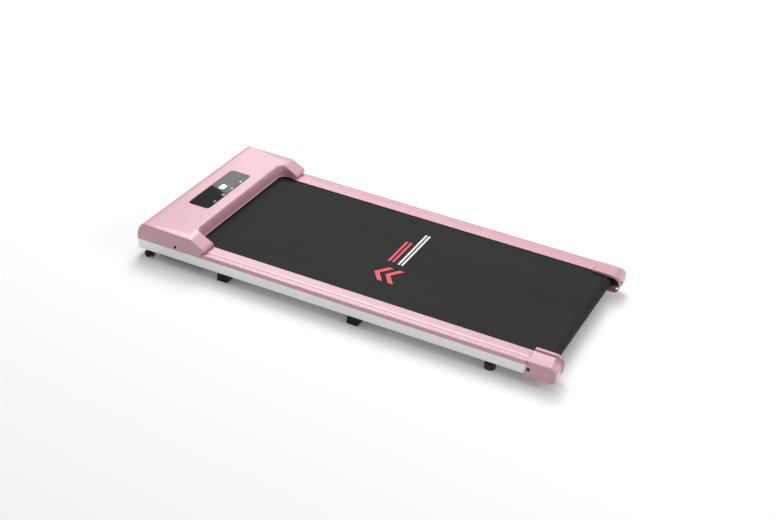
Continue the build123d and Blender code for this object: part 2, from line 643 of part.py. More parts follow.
save(switch_housing, "switch_housing")

# The rocker is drawn with its high-Y end raised, which is the off position
rocker_plane = Plane(origin=(ROCKER_PIVOT_X, SWITCH_Y, PANEL_Z - ROCKER_WIDTH / 2),
                     x_dir=Vector(1, 0, 0).rotate(Axis.Z, ROCKER_TILT), z_dir=(0, 0, 1))

with BuildPart() as switch_rocker:
    with BuildSketch(rocker_plane):
        with BuildLine():
            FilletPolyline((-5.6, ROCKER_HALF), (-4.2, 0), (-5.6, -ROCKER_HALF), (-1.5, -ROCKER_HALF + 0.4),
                           (3.0, -3.0), (3.0, 3.0), (-1.5, ROCKER_HALF - 0.4),
                           radius=[0.5, 0, 0.5, 0.5, 1, 1, 0.5], close=True)
        make_face()
        Circle(1.0 + SHAFT_GAP, mode=Mode.SUBTRACT)
    extrude(amount=ROCKER_WIDTH)
save(switch_rocker, "switch_rocker")

BUTTON_RADIUS = 3.2
BREAKER_TRAVEL = 1.2

with BuildPart() as breaker_body:
    with BuildSketch(Plane.YZ.offset(FLANGE_FRONT)):
        with Locations((BREAKER_Y, PANEL_Z)):
            RegularPolygon(7.0, 6, major_radius=False)
    extrude(amount=FRONT - FLANGE_FRONT)
    with BuildSketch(Plane.YZ.offset(FRONT)):
        with Locations((BREAKER_Y, PANEL_Z)):
            Circle(5.0)
    extrude(amount=STEEL)
    with BuildSketch(Plane.YZ.offset(FRONT + STEEL)):
        with Locations((BREAKER_Y, PANEL_Z)):
            Rectangle(14, 21)
    extrude(amount=20)
    with BuildSketch(Plane.YZ.offset(FLANGE_FRONT)):
        with Locations((BREAKER_Y, PANEL_Z)):
            Circle(BUTTON_RADIUS + SHAFT_GAP)
    extrude(amount=10, mode=Mode.SUBTRACT)
save(breaker_body, "breaker_body")

with BuildPart() as breaker_button:
    button_front = -LENGTH / 2
    with BuildSketch(Plane.YZ.offset(button_front)):
        with Locations((BREAKER_Y, PANEL_Z)):
            Circle(BUTTON_RADIUS)
    extrude(amount=FLANGE_FRONT + 10 - BREAKER_TRAVEL - FACE_GAP - button_front)
    fillet(breaker_button.faces().sort_by(Axis.X)[0].edges(), 0.8)
save(breaker_button, "breaker_button")

# ---- Motor hood -----------------------------------------------------------------------
HOOD_FRONT = FRONT + 0.8
HOOD_BOTTOM = FRAME_TOP
NOSE_X = FRONT + 183
SLOPE_TOP = FRONT + 147.5
SLOPE = 0.5134
BEVEL_FRONT = 2.0
BEVEL_REAR = 23.0
BAY_START = FRONT + 142
BAY_CORNER = 18.0
BAY_TAPER = -15.0
LIP_BOTTOM = BELT_TOP + 1.0
LIP_TOP = 59.0
LIP_WIDTH = 3.0


def hood_profile(inset):
    """Corners and radii of the hood's side profile, moved inwards by a wall thickness."""
    top = HOOD_TOP - inset
    front = HOOD_FRONT + inset
    nose = NOSE_X - inset
    crest = SLOPE_TOP - (top + inset * 1.12 - HOOD_EDGE_TOP) / SLOPE
    nose_top = top - (nose - crest) * SLOPE
    corners = [(front, HOOD_BOTTOM), (front, 66), (front + 9, top), (crest, top), (nose, nose_top)]
    radii = [0, 30, 20 - inset, 12, 8 - inset]
    return corners, radii


def bay_corners(edge, corner):
    """Plan outline of the belt opening, running out past the ends of the arms."""
    start = BAY_START - (edge - HALF_OPENING)
    end = NOSE_X + 60
    corners = [(end, -edge), (start, -edge), (start, edge), (end, edge)]
    return corners, [0, corner, corner, 0]


outer_corners, outer_radii = hood_profile(0)
inner_corners, inner_radii = hood_profile(PLASTIC)
lip_corners, lip_radii = bay_corners(HALF_OPENING, BAY_CORNER)
wall_corners, wall_radii = bay_corners(HALF_OPENING + LIP_WIDTH, BAY_CORNER + LIP_WIDTH)
shell_corners, shell_radii = bay_corners(HALF_OPENING + LIP_WIDTH + PLASTIC,
                                         BAY_CORNER + LIP_WIDTH + PLASTIC)

# Space inside the hood: everything within the shell that is not the wall round the belt
with BuildPart() as hood_space:
    with BuildSketch(side_plane(HALF_WIDTH - PLASTIC)):
        with BuildLine():
            FilletPolyline(*inner_corners, (NOSE_X - PLASTIC, COVER_TOP), (NOSE_X + 5, COVER_TOP),
                           (NOSE_X + 5, HOOD_BOTTOM - 5), (HOOD_FRONT + PLASTIC, HOOD_BOTTOM - 5),
                           radius=[0, *inner_radii[1:], 0, 0, 0, 0], close=True)
        make_face()
    extrude(amount=2 * (HALF_WIDTH - PLASTIC))
    with BuildSketch(Plane.XY.offset(LIP_BOTTOM)):
        with BuildLine():
            FilletPolyline(*shell_corners, radius=shell_radii, close=True)
        make_face()
    extrude(amount=HOOD_TOP - LIP_BOTTOM + 5, taper=BAY_TAPER, mode=Mode.SUBTRACT)

with BuildPart() as motor_hood:
    with BuildSketch(side_plane(HALF_WIDTH)):
        with BuildLine():
            FilletPolyline(*outer_corners, (NOSE_X, COVER_TOP + 3), (COVER_START - 0.4, COVER_TOP),
                           (COVER_START - 0.4, HOOD_BOTTOM), radius=[*outer_radii, 1.5, 0, 0], close=True)
        make_face()
    extrude(amount=WIDTH)
    # The outer strips of the top fall away to the side edges, wider towards the rear
    for _, side in SIDES:
        with BuildSketch(Plane.YZ.offset(HOOD_FRONT - 1)):
            with BuildLine():
                Polyline((side * (HALF_WIDTH + 1), HOOD_EDGE_TOP), (side * HALF_WIDTH, HOOD_EDGE_TOP),
                         (side * (HALF_WIDTH - BEVEL_FRONT), HOOD_TOP),
                         (side * (HALF_WIDTH - BEVEL_FRONT), HOOD_TOP + 1),
                         (side * (HALF_WIDTH + 1), HOOD_TOP + 1), close=True)
            make_face()
        with BuildSketch(Plane.YZ.offset(SLOPE_TOP + 10)):
            with BuildLine():
                Polyline((side * (HALF_WIDTH + 1), HOOD_EDGE_TOP), (side * HALF_WIDTH, HOOD_EDGE_TOP),
                         (side * (HALF_WIDTH - BEVEL_REAR), HOOD_TOP),
                         (side * (HALF_WIDTH - BEVEL_REAR), HOOD_TOP + 1),
                         (side * (HALF_WIDTH + 1), HOOD_TOP + 1), close=True)
            make_face()
        loft(ruled=True, mode=Mode.SUBTRACT)
    # Belt opening: a narrow straight lip, then walls that lean outwards
    with BuildSketch(Plane.XY.offset(HOOD_BOTTOM - 5)):
        with BuildLine():
            FilletPolyline(*lip_corners, radius=lip_radii, close=True)
        make_face()
    extrude(amount=HOOD_TOP, mode=Mode.SUBTRACT)
    with BuildSketch(Plane.XY.offset(LIP_TOP)):
        with BuildLine():
            FilletPolyline(*wall_corners, radius=wall_radii, close=True)
        make_face()
    extrude(amount=HOOD_TOP - LIP_TOP + 5, taper=BAY_TAPER, mode=Mode.SUBTRACT)
    add(hood_space.part, mode=Mode.SUBTRACT)
    # Pocket for the console lens, with a narrow ledge that the lens is glued to
    with BuildSketch(Plane.XY.offset(HOOD_TOP)):
        with Locations((CONSOLE_X, 0)):
            RectangleRounded(CONSOLE_LENGTH + 0.4, CONSOLE_WIDTH + 0.4, CONSOLE_CORNER + 0.2)
    extrude(amount=-LENS_THICKNESS, mode=Mode.SUBTRACT)
    with BuildSketch(Plane.XY.offset(HOOD_TOP)):
        with Locations((CONSOLE_X, 0)):
            RectangleRounded(CONSOLE_LENGTH - 8, CONSOLE_WIDTH - 8, CONSOLE_CORNER - 4)
    extrude(amount=-2 * PLASTIC, mode=Mode.SUBTRACT)
    # Recessed holes for the side screws
    for _, side in SIDES:
        hole_plane, hole_depth = side_span(side, HALF_WIDTH - PLASTIC - 1, HALF_WIDTH)
        with BuildSketch(hole_plane):
            with Locations((HOOD_SCREW_X, HOOD_SCREW_Z)):
                Circle(SCREW_RADIUS + 0.2)
        extrude(amount=hole_depth, mode=Mode.SUBTRACT)
        recess_plane, recess_depth = side_span(side, HALF_WIDTH - SCREW_RECESS, HALF_WIDTH)
        with BuildSketch(recess_plane):
            with Locations((HOOD_SCREW_X, HOOD_SCREW_Z)):
                Circle(SCREW_HEAD_RADIUS + 0.3)
        extrude(amount=recess_depth, mode=Mode.SUBTRACT)
save(motor_hood, "motor_hood")

# ---- Console --------------------------------------------------------------------------
CONSOLE_BOARD_Z = 84.5

with BuildPart() as console_lens:
    with BuildSketch(Plane.XY.offset(HOOD_TOP - LENS_THICKNESS)):
        with Locations((CONSOLE_X, 0)):
            RectangleRounded(CONSOLE_LENGTH, CONSOLE_WIDTH, CONSOLE_CORNER)
    extrude(amount=LENS_THICKNESS)
    fillet(console_lens.faces().sort_by(Axis.Z)[-1].edges(), 0.3)
save(console_lens, "console_lens")

DISPLAY_SIZE = (20.0, 46.0)
TOUCH_SPRINGS_X = CONSOLE_X + 18
TOUCH_PITCH = 42.0
TOUCH_KEYS = 4

with BuildPart() as console_board:
    with BuildSketch(Plane.XY.offset(CONSOLE_BOARD_Z)):
        with Locations((CONSOLE_X, 0)):
            Rectangle(CONSOLE_LENGTH - 10, CONSOLE_WIDTH - 10)
    extrude(amount=1.6)
    # One touch spring under each key, reaching up to the lens
    with BuildSketch(Plane.XY.offset(CONSOLE_BOARD_Z + 1.6)):
        with Locations((TOUCH_SPRINGS_X, 0)):
            with GridLocations(1, TOUCH_PITCH, 1, TOUCH_KEYS):
                Circle(4)
    extrude(amount=HOOD_TOP - LENS_THICKNESS - CONSOLE_BOARD_Z - 1.8)
save(console_board, "console_board")

with BuildPart() as display_module:
    with BuildSketch(Plane.XY.offset(CONSOLE_BOARD_Z + 1.6)):
        with Locations((CONSOLE_X - 4, 0)):
            RectangleRounded(*DISPLAY_SIZE, 1)
    extrude(amount=HOOD_TOP - LENS_THICKNESS - CONSOLE_BOARD_Z - 1.8)
save(display_module, "display_module")

CONSOLE_CABLE_WIDTH = 1.4

with BuildPart() as console_cable:
    with BuildLine() as console_route:
        FilletPolyline((CONSOLE_X - 20, -60, CONSOLE_BOARD_Z), (CONSOLE_X - 20, -60, 70),
                       (BOARD_X - 30, -84, 58), (BOARD_X - 30, -84, BOARD_Z + 1.6), radius=8)
    with BuildSketch(Plane(origin=console_route.line @ 0, z_dir=console_route.line % 0)):
        Circle(CONSOLE_CABLE_WIDTH)
    sweep()
save(console_cable, "console_cable")

TERMINAL_OFFSET = 18.4
terminal_x = MOTOR_X - TERMINAL_OFFSET
terminal_z = MOTOR_Z + TERMINAL_OFFSET

with BuildPart() as motor_cable:
    with BuildLine() as motor_route:
        FilletPolyline((terminal_x, -12, BOARD_Z + 1.6), (terminal_x, -12, terminal_z),
                       (terminal_x, MOTOR_FRONT_Y - BELL_THICKNESS, terminal_z), radius=10)
    with BuildSketch(Plane(origin=motor_route.line @ 0, z_dir=motor_route.line % 0)):
        Circle(1.6)
    sweep()
save(motor_cable, "motor_cable")

# ---- Side covers and end caps ---------------------------------------------------------
COVER_UNDERSIDE = BELT_TOP + 0.5
RIDGE_Y = HALF_OPENING + 26
GROOVE_Y = RIDGE_Y + 7
GROOVE_DEPTH = 2.0
RIM_Y = COVER_OUTER - 4.5

for side_name, side in SIDES:
    with BuildPart() as rail_cover:
        with BuildSketch(Plane.YZ.offset(COVER_START)):
            with BuildLine():
                FilletPolyline(
                    (side * HALF_OPENING, COVER_UNDERSIDE), (side * HALF_OPENING, COVER_TOP - 0.3),
                    (side * (HALF_OPENING + 4), COVER_TOP - 0.3), (side * RIDGE_Y, COVER_TOP),
                    (side * (RIDGE_Y + 4), COVER_TOP - 0.6), (side * GROOVE_Y, COVER_TOP - GROOVE_DEPTH),
                    (side * (RIM_Y - 1.5), COVER_TOP - GROOVE_DEPTH), (side * RIM_Y, COVER_TOP - 0.7),
                    (side * COVER_OUTER, COVER_TOP - 0.7), (side * COVER_OUTER, FRAME_TOP),
                    (side * (RAIL_OUTER + 0.2), FRAME_TOP),
                    (side * (RAIL_OUTER + 0.2), COVER_UNDERSIDE - 1.6),
                    (side * (GROOVE_Y - 3), COVER_UNDERSIDE - 1.6),
                    (side * (GROOVE_Y - 5), COVER_UNDERSIDE),
                    radius=[0.6, 1, 0, 2, 1.5, 0.8, 0.8, 0.8, 1.2, 0.5, 0.3, 0, 0, 0], close=True)
            make_face()
            # Ribs that stand on the edge of the deck
            for rib_y in (DECK_SCREW_Y - 5, DECK_SCREW_Y + 6):
                with Locations((side * rib_y, (DECK_TOP + COVER_UNDERSIDE) / 2 + 0.3)):
                    Rectangle(1.6, COVER_UNDERSIDE - DECK_TOP + 0.5)
        extrude(amount=COVER_END - COVER_START)
    save(rail_cover, f"{side_name}_rail_cover")

CAP_WALL = 2.3
CAP_UPPER_RADIUS = 20.0
CAP_LOWER_RADIUS = 15.0
CAP_FOOT_START = CAP_START - 4
FIN_OUTER = HALF_OPENING
FIN_START = CAP_START + 0.5
FIN_FOOT_START = REAR_ROLLER_X + 1
NOTCH_WIDTH = 14.0

with BuildPart() as right_end_cap:
    body_plane, body_width = side_span(1, FIN_OUTER, HALF_WIDTH)
    with BuildSketch(body_plane):
        with BuildLine():
            FilletPolyline((CAP_START, CAP_TOP), (REAR, CAP_TOP), (REAR, CAP_BOTTOM),
                           (CAP_FOOT_START, CAP_BOTTOM), (CAP_START, FRAME_TOP),
                           radius=[0.8, CAP_UPPER_RADIUS, CAP_LOWER_RADIUS, 2, 0],
                           close=True)
        make_face()
    extrude(amount=body_width)
    # Hollow inside, open to the front for the rail and to the middle for the roller
    hollow_plane, hollow_width = side_span(1, FIN_OUTER - 1, HALF_WIDTH - CAP_WALL)
    with BuildSketch(hollow_plane):
        with BuildLine():
            FilletPolyline((CAP_FOOT_START - 5, CAP_TOP - CAP_WALL), (REAR - CAP_WALL, CAP_TOP - CAP_WALL),
                           (REAR - CAP_WALL, CAP_BOTTOM + CAP_WALL),
                           (CAP_FOOT_START - 5, CAP_BOTTOM + CAP_WALL),
                           radius=[0, CAP_UPPER_RADIUS - CAP_WALL, CAP_LOWER_RADIUS - CAP_WALL, 0],
                           close=True)
        make_face()
    extrude(amount=hollow_width, mode=Mode.SUBTRACT)
    # Raised fin along the inner edge, which hooks round the end of the roller
    fin_plane, fin_width = side_span(1, FIN_INNER, FIN_OUTER + 0.5)
    with BuildSketch(fin_plane):
        with BuildLine():
            FilletPolyline((FIN_START, CAP_TOP - CAP_WALL), (FIN_START, FIN_TOP), (REAR, FIN_TOP),
                           (REAR, CAP_BOTTOM), (FIN_FOOT_START, CAP_BOTTOM),
                           (FIN_FOOT_START, CAP_BOTTOM + CAP_WALL),
                           (REAR - CAP_WALL, CAP_BOTTOM + CAP_WALL),
                           (REAR - CAP_WALL, CAP_TOP - CAP_WALL),
                           radius=[0, 5, 24, CAP_LOWER_RADIUS, 0.8, 0.8, CAP_LOWER_RADIUS - CAP_WALL,
                                   CAP_UPPER_RADIUS - CAP_WALL], close=True)
        make_face()
    extrude(amount=fin_width)
    # Slot from below that gives a spanner access to the tension bolt
    with BuildSketch(Plane.YZ.offset(REAR - 12)):
        with Locations((BOLT_Y, ROLLER_Z)):
            Circle(NOTCH_WIDTH / 2)
        with Locations((BOLT_Y, ROLLER_Z - 15)):
            Rectangle(NOTCH_WIDTH, 30)
    extrude(amount=14, mode=Mode.SUBTRACT)
    hole_plane, hole_depth = side_span(1, HALF_WIDTH - CAP_WALL - 1, HALF_WIDTH)
    with BuildSketch(hole_plane):
        with Locations((CAP_SCREW_X, CAP_SCREW_Z)):
            Circle(SCREW_RADIUS + 0.2)
    extrude(amount=hole_depth, mode=Mode.SUBTRACT)
    recess_plane, recess_depth = side_span(1, HALF_WIDTH - SCREW_RECESS, HALF_WIDTH)
    with BuildSketch(recess_plane):
        with Locations((CAP_SCREW_X, CAP_SCREW_Z)):
            Circle(SCREW_HEAD_RADIUS + 0.3)
    extrude(amount=recess_depth, mode=Mode.SUBTRACT)
save(right_end_cap, "right_end_cap")

with BuildPart() as left_end_cap:
    mirror(right_end_cap.part, about=Plane.XZ)
save(left_end_cap, "left_end_cap")


def build_side_screws(x, z, name):
    """One cross-head screw through each side wall into the steel behind it."""
    with BuildPart() as screws:
        for _, side in SIDES:
            head_plane, head_depth = side_span(side, HALF_WIDTH - SCREW_RECESS, HALF_WIDTH - 0.2)
            with BuildSketch(head_plane):
                with Locations((x, z)):
                    Circle(SCREW_HEAD_RADIUS)
            extrude(amount=head_depth)
            slot_plane, slot_depth = side_span(side, HALF_WIDTH - 0.9, HALF_WIDTH)
            with BuildSketch(slot_plane):
                with Locations((x, z)):
                    Rectangle(3.4, 0.8)
                    Rectangle(0.8, 3.4)
            extrude(amount=slot_depth, mode=Mode.SUBTRACT)
            thread_plane, thread_depth = side_span(side, RAIL_OUTER - 3, HALF_WIDTH - SCREW_RECESS)
            with BuildSketch(thread_plane):
                with Locations((x, z)):
                    Circle(SCREW_RADIUS)
            extrude(amount=thread_depth)
    save(screws, name)


build_side_screws(HOOD_SCREW_X, HOOD_SCREW_Z, "hood_screws")
build_side_screws(CAP_SCREW_X, CAP_SCREW_Z, "end_cap_screws")

# ---- Feet, levelling feet and transport wheels ----------------------------------------
FOOT_TOP_LENGTH = 40.0
FOOT_BASE_LENGTH = 27.0
FOOT_WIDTH = 23.0

with BuildPart() as rubber_feet:
    for _, side in SIDES:
        foot_outer = HALF_WIDTH - FOOT_INSET
        foot_plane, foot_width = side_span(side, foot_outer - FOOT_WIDTH, foot_outer)
        for foot_x in FOOT_STATIONS:
            with BuildSketch(foot_plane):
                with BuildLine():
                    FilletPolyline((foot_x, FLOOR_GAP), (foot_x, 0), (foot_x + FOOT_BASE_LENGTH, 0),
                                   (foot_x + FOOT_TOP_LENGTH - 2, FLOOR_GAP - 5),
                                   (foot_x + FOOT_TOP_LENGTH, FLOOR_GAP),
                                   radius=[0, 1.5, 2, 3, 0], close=True)
                make_face()
            extrude(amount=foot_width)
save(rubber_feet, "rubber_feet")

PAD_RADIUS = 13.5
PAD_HEIGHT = 15.5
PAD_NECK_TOP = 17.0
STUD_RADIUS = 4.0
STUD_BOTTOM = 5.0
STUD_TOP = 42.0
COLLAR_BOTTOM = PAD_NECK_TOP + FACE_GAP
COLLAR_TOP = 20.5
NUT_HEIGHT = 6.5

for side_name, side in SIDES:
    with BuildPart() as leveller_pad:
        with BuildSketch(Plane.XY):
            with Locations((LEVELLER_X, side * LEVELLER_Y)):
                Circle(PAD_RADIUS)
        extrude(amount=PAD_HEIGHT)
        fillet(leveller_pad.edges().sort_by(Axis.Z)[-1], 2)
        fillet(leveller_pad.edges().sort_by(Axis.Z)[0], 0.8)
        with BuildSketch(Plane.XY.offset(PAD_HEIGHT)):
            with Locations((LEVELLER_X, side * LEVELLER_Y)):
                Circle(9)
        extrude(amount=PAD_NECK_TOP - PAD_HEIGHT)
        with BuildSketch(Plane.XY.offset(STUD_BOTTOM)):
            with Locations((LEVELLER_X, side * LEVELLER_Y)):
                Circle(STUD_RADIUS + SHAFT_GAP)
        extrude(amount=PAD_NECK_TOP, mode=Mode.SUBTRACT)
    save(leveller_pad, f"{side_name}_leveller_pad")

    with BuildPart() as leveller_stud:
        with BuildSketch(Plane.XY.offset(STUD_BOTTOM + SHAFT_GAP)):
            with Locations((LEVELLER_X, side * LEVELLER_Y)):
                Circle(STUD_RADIUS)
        extrude(amount=STUD_TOP - STUD_BOTTOM)
        with BuildSketch(Plane.XY.offset(COLLAR_BOTTOM)):
            with Locations((LEVELLER_X, side * LEVELLER_Y)):
                RegularPolygon(6.5, 6, major_radius=False)
        extrude(amount=COLLAR_TOP - COLLAR_BOTTOM)
        chamfer(leveller_stud.faces().sort_by(Axis.Z)[-1].edges(), 0.6)
    save(leveller_stud, f"{side_name}_leveller_stud")

with BuildPart() as leveller_nuts:
    with BuildSketch(Plane.XY.offset(FLOOR_GAP + STEEL)):
        with Locations([(LEVELLER_X, side * LEVELLER_Y) for _, side in SIDES]):
            RegularPolygon(6.5, 6, major_radius=False)
            Circle(STUD_RADIUS + SHAFT_GAP, mode=Mode.SUBTRACT)
    extrude(amount=NUT_HEIGHT)
save(leveller_nuts, "leveller_nuts")

WHEEL_INNER_Y = 238.0
WHEEL_OUTER_Y = 249.4
WHEEL_AXLE_RADIUS = 3.0
BRACKET_PLATE_INNER = 233.0
BRACKET_PLATE_OUTER = 236.5

for side_name, side in SIDES:
    with BuildPart() as transport_wheel:
        wheel_plane, wheel_width = side_span(side, WHEEL_INNER_Y, WHEEL_OUTER_Y)
        with BuildSketch(wheel_plane):
            with Locations((WHEEL_X, WHEEL_Z)):
                Circle(WHEEL_RADIUS)
        extrude(amount=wheel_width)
        fillet(transport_wheel.edges().filter_by(GeomType.CIRCLE), 1.2)
        with BuildSketch(wheel_plane):
            with Locations((WHEEL_X, WHEEL_Z)):
                Circle(WHEEL_AXLE_RADIUS + SHAFT_GAP)
        extrude(amount=wheel_width, mode=Mode.SUBTRACT)
        # Sunk hub face on the outside
        dish_plane, dish_depth = side_span(side, WHEEL_OUTER_Y - 1.5, WHEEL_OUTER_Y)
        with BuildSketch(dish_plane):
            with Locations((WHEEL_X, WHEEL_Z)):
                Circle(WHEEL_RADIUS - 3.2)
        extrude(amount=dish_depth, mode=Mode.SUBTRACT)
    save(transport_wheel, f"{side_name}_transport_wheel")

with BuildPart() as wheel_brackets:
    for _, side in SIDES:
        plate_plane, plate_width = side_span(side, BRACKET_PLATE_INNER, BRACKET_PLATE_OUTER)
        with BuildSketch(plate_plane):
            with BuildLine():
                FilletPolyline((WHEEL_X - 9, FLOOR_GAP), (WHEEL_X - 7, WHEEL_Z - 6),
                               (WHEEL_X + 8, WHEEL_Z - 6), (WHEEL_X + 22, FLOOR_GAP),
                               radius=[0, 5, 6, 0], close=True)
            make_face()
            with Locations((WHEEL_X, WHEEL_Z)):
                Circle(WHEEL_AXLE_RADIUS + 0.02, mode=Mode.SUBTRACT)
        extrude(amount=plate_width)
        foot_plane, foot_width = side_span(side, BRACKET_PLATE_INNER - 16, BRACKET_PLATE_INNER)
        with BuildSketch(foot_plane):
            with Locations((WHEEL_X + 6.5, FLOOR_GAP - 1.2)):
                Rectangle(31, 2.4)
        extrude(amount=foot_width)
        stop_plane, stop_width = side_span(side, BRACKET_PLATE_OUTER, WHEEL_OUTER_Y - 1)
        with BuildSketch(stop_plane):
            with BuildLine():
                FilletPolyline((WHEEL_X + 14.5, FLOOR_GAP), (WHEEL_X + 10, 3.4),
                               (WHEEL_X + 13, 3.2), (WHEEL_X + 21, FLOOR_GAP),
                               radius=[0, 0.8, 1.2, 0], close=True)
            make_face()
        extrude(amount=stop_width)
save(wheel_brackets, "wheel_brackets")

with BuildPart() as wheel_axles:
    for _, side in SIDES:
        axle_plane, axle_length = side_span(side, BRACKET_PLATE_INNER, WHEEL_OUTER_Y - 1.1)
        with BuildSketch(axle_plane):
            with Locations((WHEEL_X, WHEEL_Z)):
                Circle(WHEEL_AXLE_RADIUS)
        extrude(amount=axle_length)
        head_plane, head_length = side_span(side, WHEEL_OUTER_Y - 1.1, WHEEL_OUTER_Y + 0.4)
        with BuildSketch(head_plane):
            with Locations((WHEEL_X, WHEEL_Z)):
                Circle(WHEEL_AXLE_RADIUS + 1.8)
        extrude(amount=head_length)
save(wheel_axles, "wheel_axles")
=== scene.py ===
import json
import math

import bmesh
import bpy
from mathutils import Matrix, Vector
from mathutils.geometry import delaunay_2d_cdt


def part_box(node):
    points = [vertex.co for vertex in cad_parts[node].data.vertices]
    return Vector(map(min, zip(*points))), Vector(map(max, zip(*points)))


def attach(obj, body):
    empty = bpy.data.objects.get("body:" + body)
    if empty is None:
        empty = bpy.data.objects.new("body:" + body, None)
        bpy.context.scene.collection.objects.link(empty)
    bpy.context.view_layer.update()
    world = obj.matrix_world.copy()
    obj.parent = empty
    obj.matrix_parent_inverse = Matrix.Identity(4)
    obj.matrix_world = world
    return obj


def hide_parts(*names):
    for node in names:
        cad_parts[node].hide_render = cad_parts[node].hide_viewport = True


# A slim walking treadmill: pink hood, side covers and end caps on a white steel frame.
# Shapes are worked out in millimetres, in the frame's own axes, and MM turns them to metres.
# +X runs from the hood to the open rear end, +Y is the walker's right, +Z is up.

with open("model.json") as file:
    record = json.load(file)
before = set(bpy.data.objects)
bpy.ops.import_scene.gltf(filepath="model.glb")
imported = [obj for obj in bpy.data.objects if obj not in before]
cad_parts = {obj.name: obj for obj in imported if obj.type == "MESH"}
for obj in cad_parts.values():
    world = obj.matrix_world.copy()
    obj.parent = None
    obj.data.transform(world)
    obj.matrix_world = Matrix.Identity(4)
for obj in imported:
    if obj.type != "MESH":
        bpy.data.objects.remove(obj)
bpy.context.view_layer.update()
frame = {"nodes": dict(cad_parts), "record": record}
nodes = frame["nodes"]
MM = 0.001


def box_mm(node):
    """Lowest and highest corner of a CAD node, in millimetres."""
    low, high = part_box(node)
    return low / MM, high / MM


# ---- Node materials -----------------------------------------------------------------
class Finish:
    """A Principled material with procedural layers added to it one by one."""

    def __init__(self, name, colour, roughness, metallic=0.0, coat=0.0, specular=0.5):
        self.material = bpy.data.materials.new(name)
        self.material.use_nodes = True
        self.tree = self.material.node_tree
        self.shader = self.tree.nodes["Principled BSDF"]
        self.colour = colour
        self.roughness = roughness
        self.set("Base Color", (*colour, 1))
        self.set("Roughness", roughness)
        self.set("Metallic", metallic)
        self.set("Coat Weight", coat)
        self.set("Coat Roughness", 0.12)
        self.set("Specular IOR Level", specular)
        self.bump_before = None

    def set(self, socket, value):
        self.shader.inputs[socket].default_value = value

    def add(self, kind, **values):
        node = self.tree.nodes.new(kind)
        for key, value in values.items():
            if key in node.inputs:
                node.inputs[key].default_value = value
            else:
                setattr(node, key, value)
        return node

    def link(self, output, target):
        self.tree.links.new(output, target)

    def place(self, stretch):
        """Object coordinates, scaled along each axis."""
        coordinates = self.add("ShaderNodeTexCoord")
        mapping = self.add("ShaderNodeMapping", Scale=stretch)
        self.link(coordinates.outputs["Object"], mapping.inputs["Vector"])
        return mapping.outputs["Vector"]

    def noise(self, scale, detail=3.0, stretch=(1, 1, 1), rough=0.5):
        texture = self.add("ShaderNodeTexNoise", Scale=scale, Detail=detail, Roughness=rough)
        self.link(self.place(stretch), texture.inputs["Vector"])
        return texture.outputs["Fac"]

    def cells(self, scale, stretch=(1, 1, 1), feature="F1"):
        texture = self.add("ShaderNodeTexVoronoi", feature=feature, Scale=scale)
        self.link(self.place(stretch), texture.inputs["Vector"])
        return texture.outputs["Distance"]

    def wave(self, scale, direction="X", distortion=0.0, stretch=(1, 1, 1)):
        texture = self.add("ShaderNodeTexWave", bands_direction=direction, Scale=scale,
                           Distortion=distortion)
        self.link(self.place(stretch), texture.inputs["Vector"])
        return texture.outputs["Fac"]

    def remap(self, value, low, high, out_low, out_high):
        node = self.add("ShaderNodeMapRange")
        for index, number in enumerate((low, high, out_low, out_high), start=1):
            node.inputs[index].default_value = number
        self.link(value, node.inputs[0])
        return node.outputs[0]

    def tint(self, value, low, high, other):
        """Mixes another colour in where value runs from low to high."""
        mix = self.add("ShaderNodeMix", data_type="RGBA")
        source = self.shader.inputs["Base Color"]
        if source.links:
            self.link(source.links[0].from_socket, mix.inputs["A"])
        else:
            mix.inputs["A"].default_value = (*self.colour, 1)
        mix.inputs["B"].default_value = (*other, 1)
        self.link(self.remap(value, low, high, 0, 1), mix.inputs["Factor"])
        self.link(mix.outputs["Result"], source)
        return self

    def gloss(self, value, low, high, spread):
        """Varies roughness round its set value."""
        ranged = self.remap(value, low, high, self.roughness - spread, self.roughness + spread)
        self.link(ranged, self.shader.inputs["Roughness"])
        return self

    def bump(self, value, depth, strength=1.0):
        """Relief of a given depth, in metres, laid over any relief already there."""
        node = self.add("ShaderNodeBump", Strength=strength, Distance=depth)
        self.link(value, node.inputs["Height"])
        if self.bump_before:
            self.link(self.bump_before, node.inputs["Normal"])
        self.bump_before = node.outputs["Normal"]
        self.link(self.bump_before, self.shader.inputs["Normal"])
        return self


def shade(colour, factor):
    """The same colour, darker or lighter."""
    return tuple(min(1.0, part * factor) for part in colour)


def moulded(name, colour, roughness, grain=0.00002, coat=0.0):
    """Injection-moulded plastic: fine spark-eroded grain, slight flow marks and rubbed spots."""
    finish = Finish(name, colour, roughness, coat=coat)
    finish.set("Coat Roughness", 0.3)
    finish.tint(finish.noise(9, 4), 0.35, 0.75, shade(colour, 0.955))
    finish.tint(finish.noise(60, 6, rough=0.7), 0.66, 0.80, shade(colour, 1.03))
    finish.gloss(finish.noise(28, 5, rough=0.65), 0.3, 0.7, 0.05)
    finish.bump(finish.noise(1900, 2), grain)
    finish.bump(finish.noise(14, 2), 0.00012, 0.3)
    return finish.material


def powder_coat(name, colour, roughness, pearl=0.0):
    """Powder-coated steel: orange-peel relief and faint rubbing."""
    finish = Finish(name, colour, roughness, metallic=pearl, coat=0.15)
    finish.tint(finish.noise(12, 4), 0.4, 0.8, shade(colour, 0.95))
    finish.gloss(finish.noise(40, 4), 0.3, 0.7, 0.06)
    finish.bump(finish.noise(650, 2), 0.00006)
    return finish.material


def turned_steel(name, colour, roughness, stretch):
    """Bare machined steel: fine tool lines across the stretch and a few dull patches."""
    finish = Finish(name, colour, roughness, metallic=1.0)
    finish.tint(finish.noise(30, 5, rough=0.7), 0.45, 0.8, shade(colour, 0.78))
    finish.gloss(finish.noise(18, 4), 0.3, 0.7, 0.08)
    finish.bump(finish.noise(160, 3, stretch), 0.00003)
    return finish.material


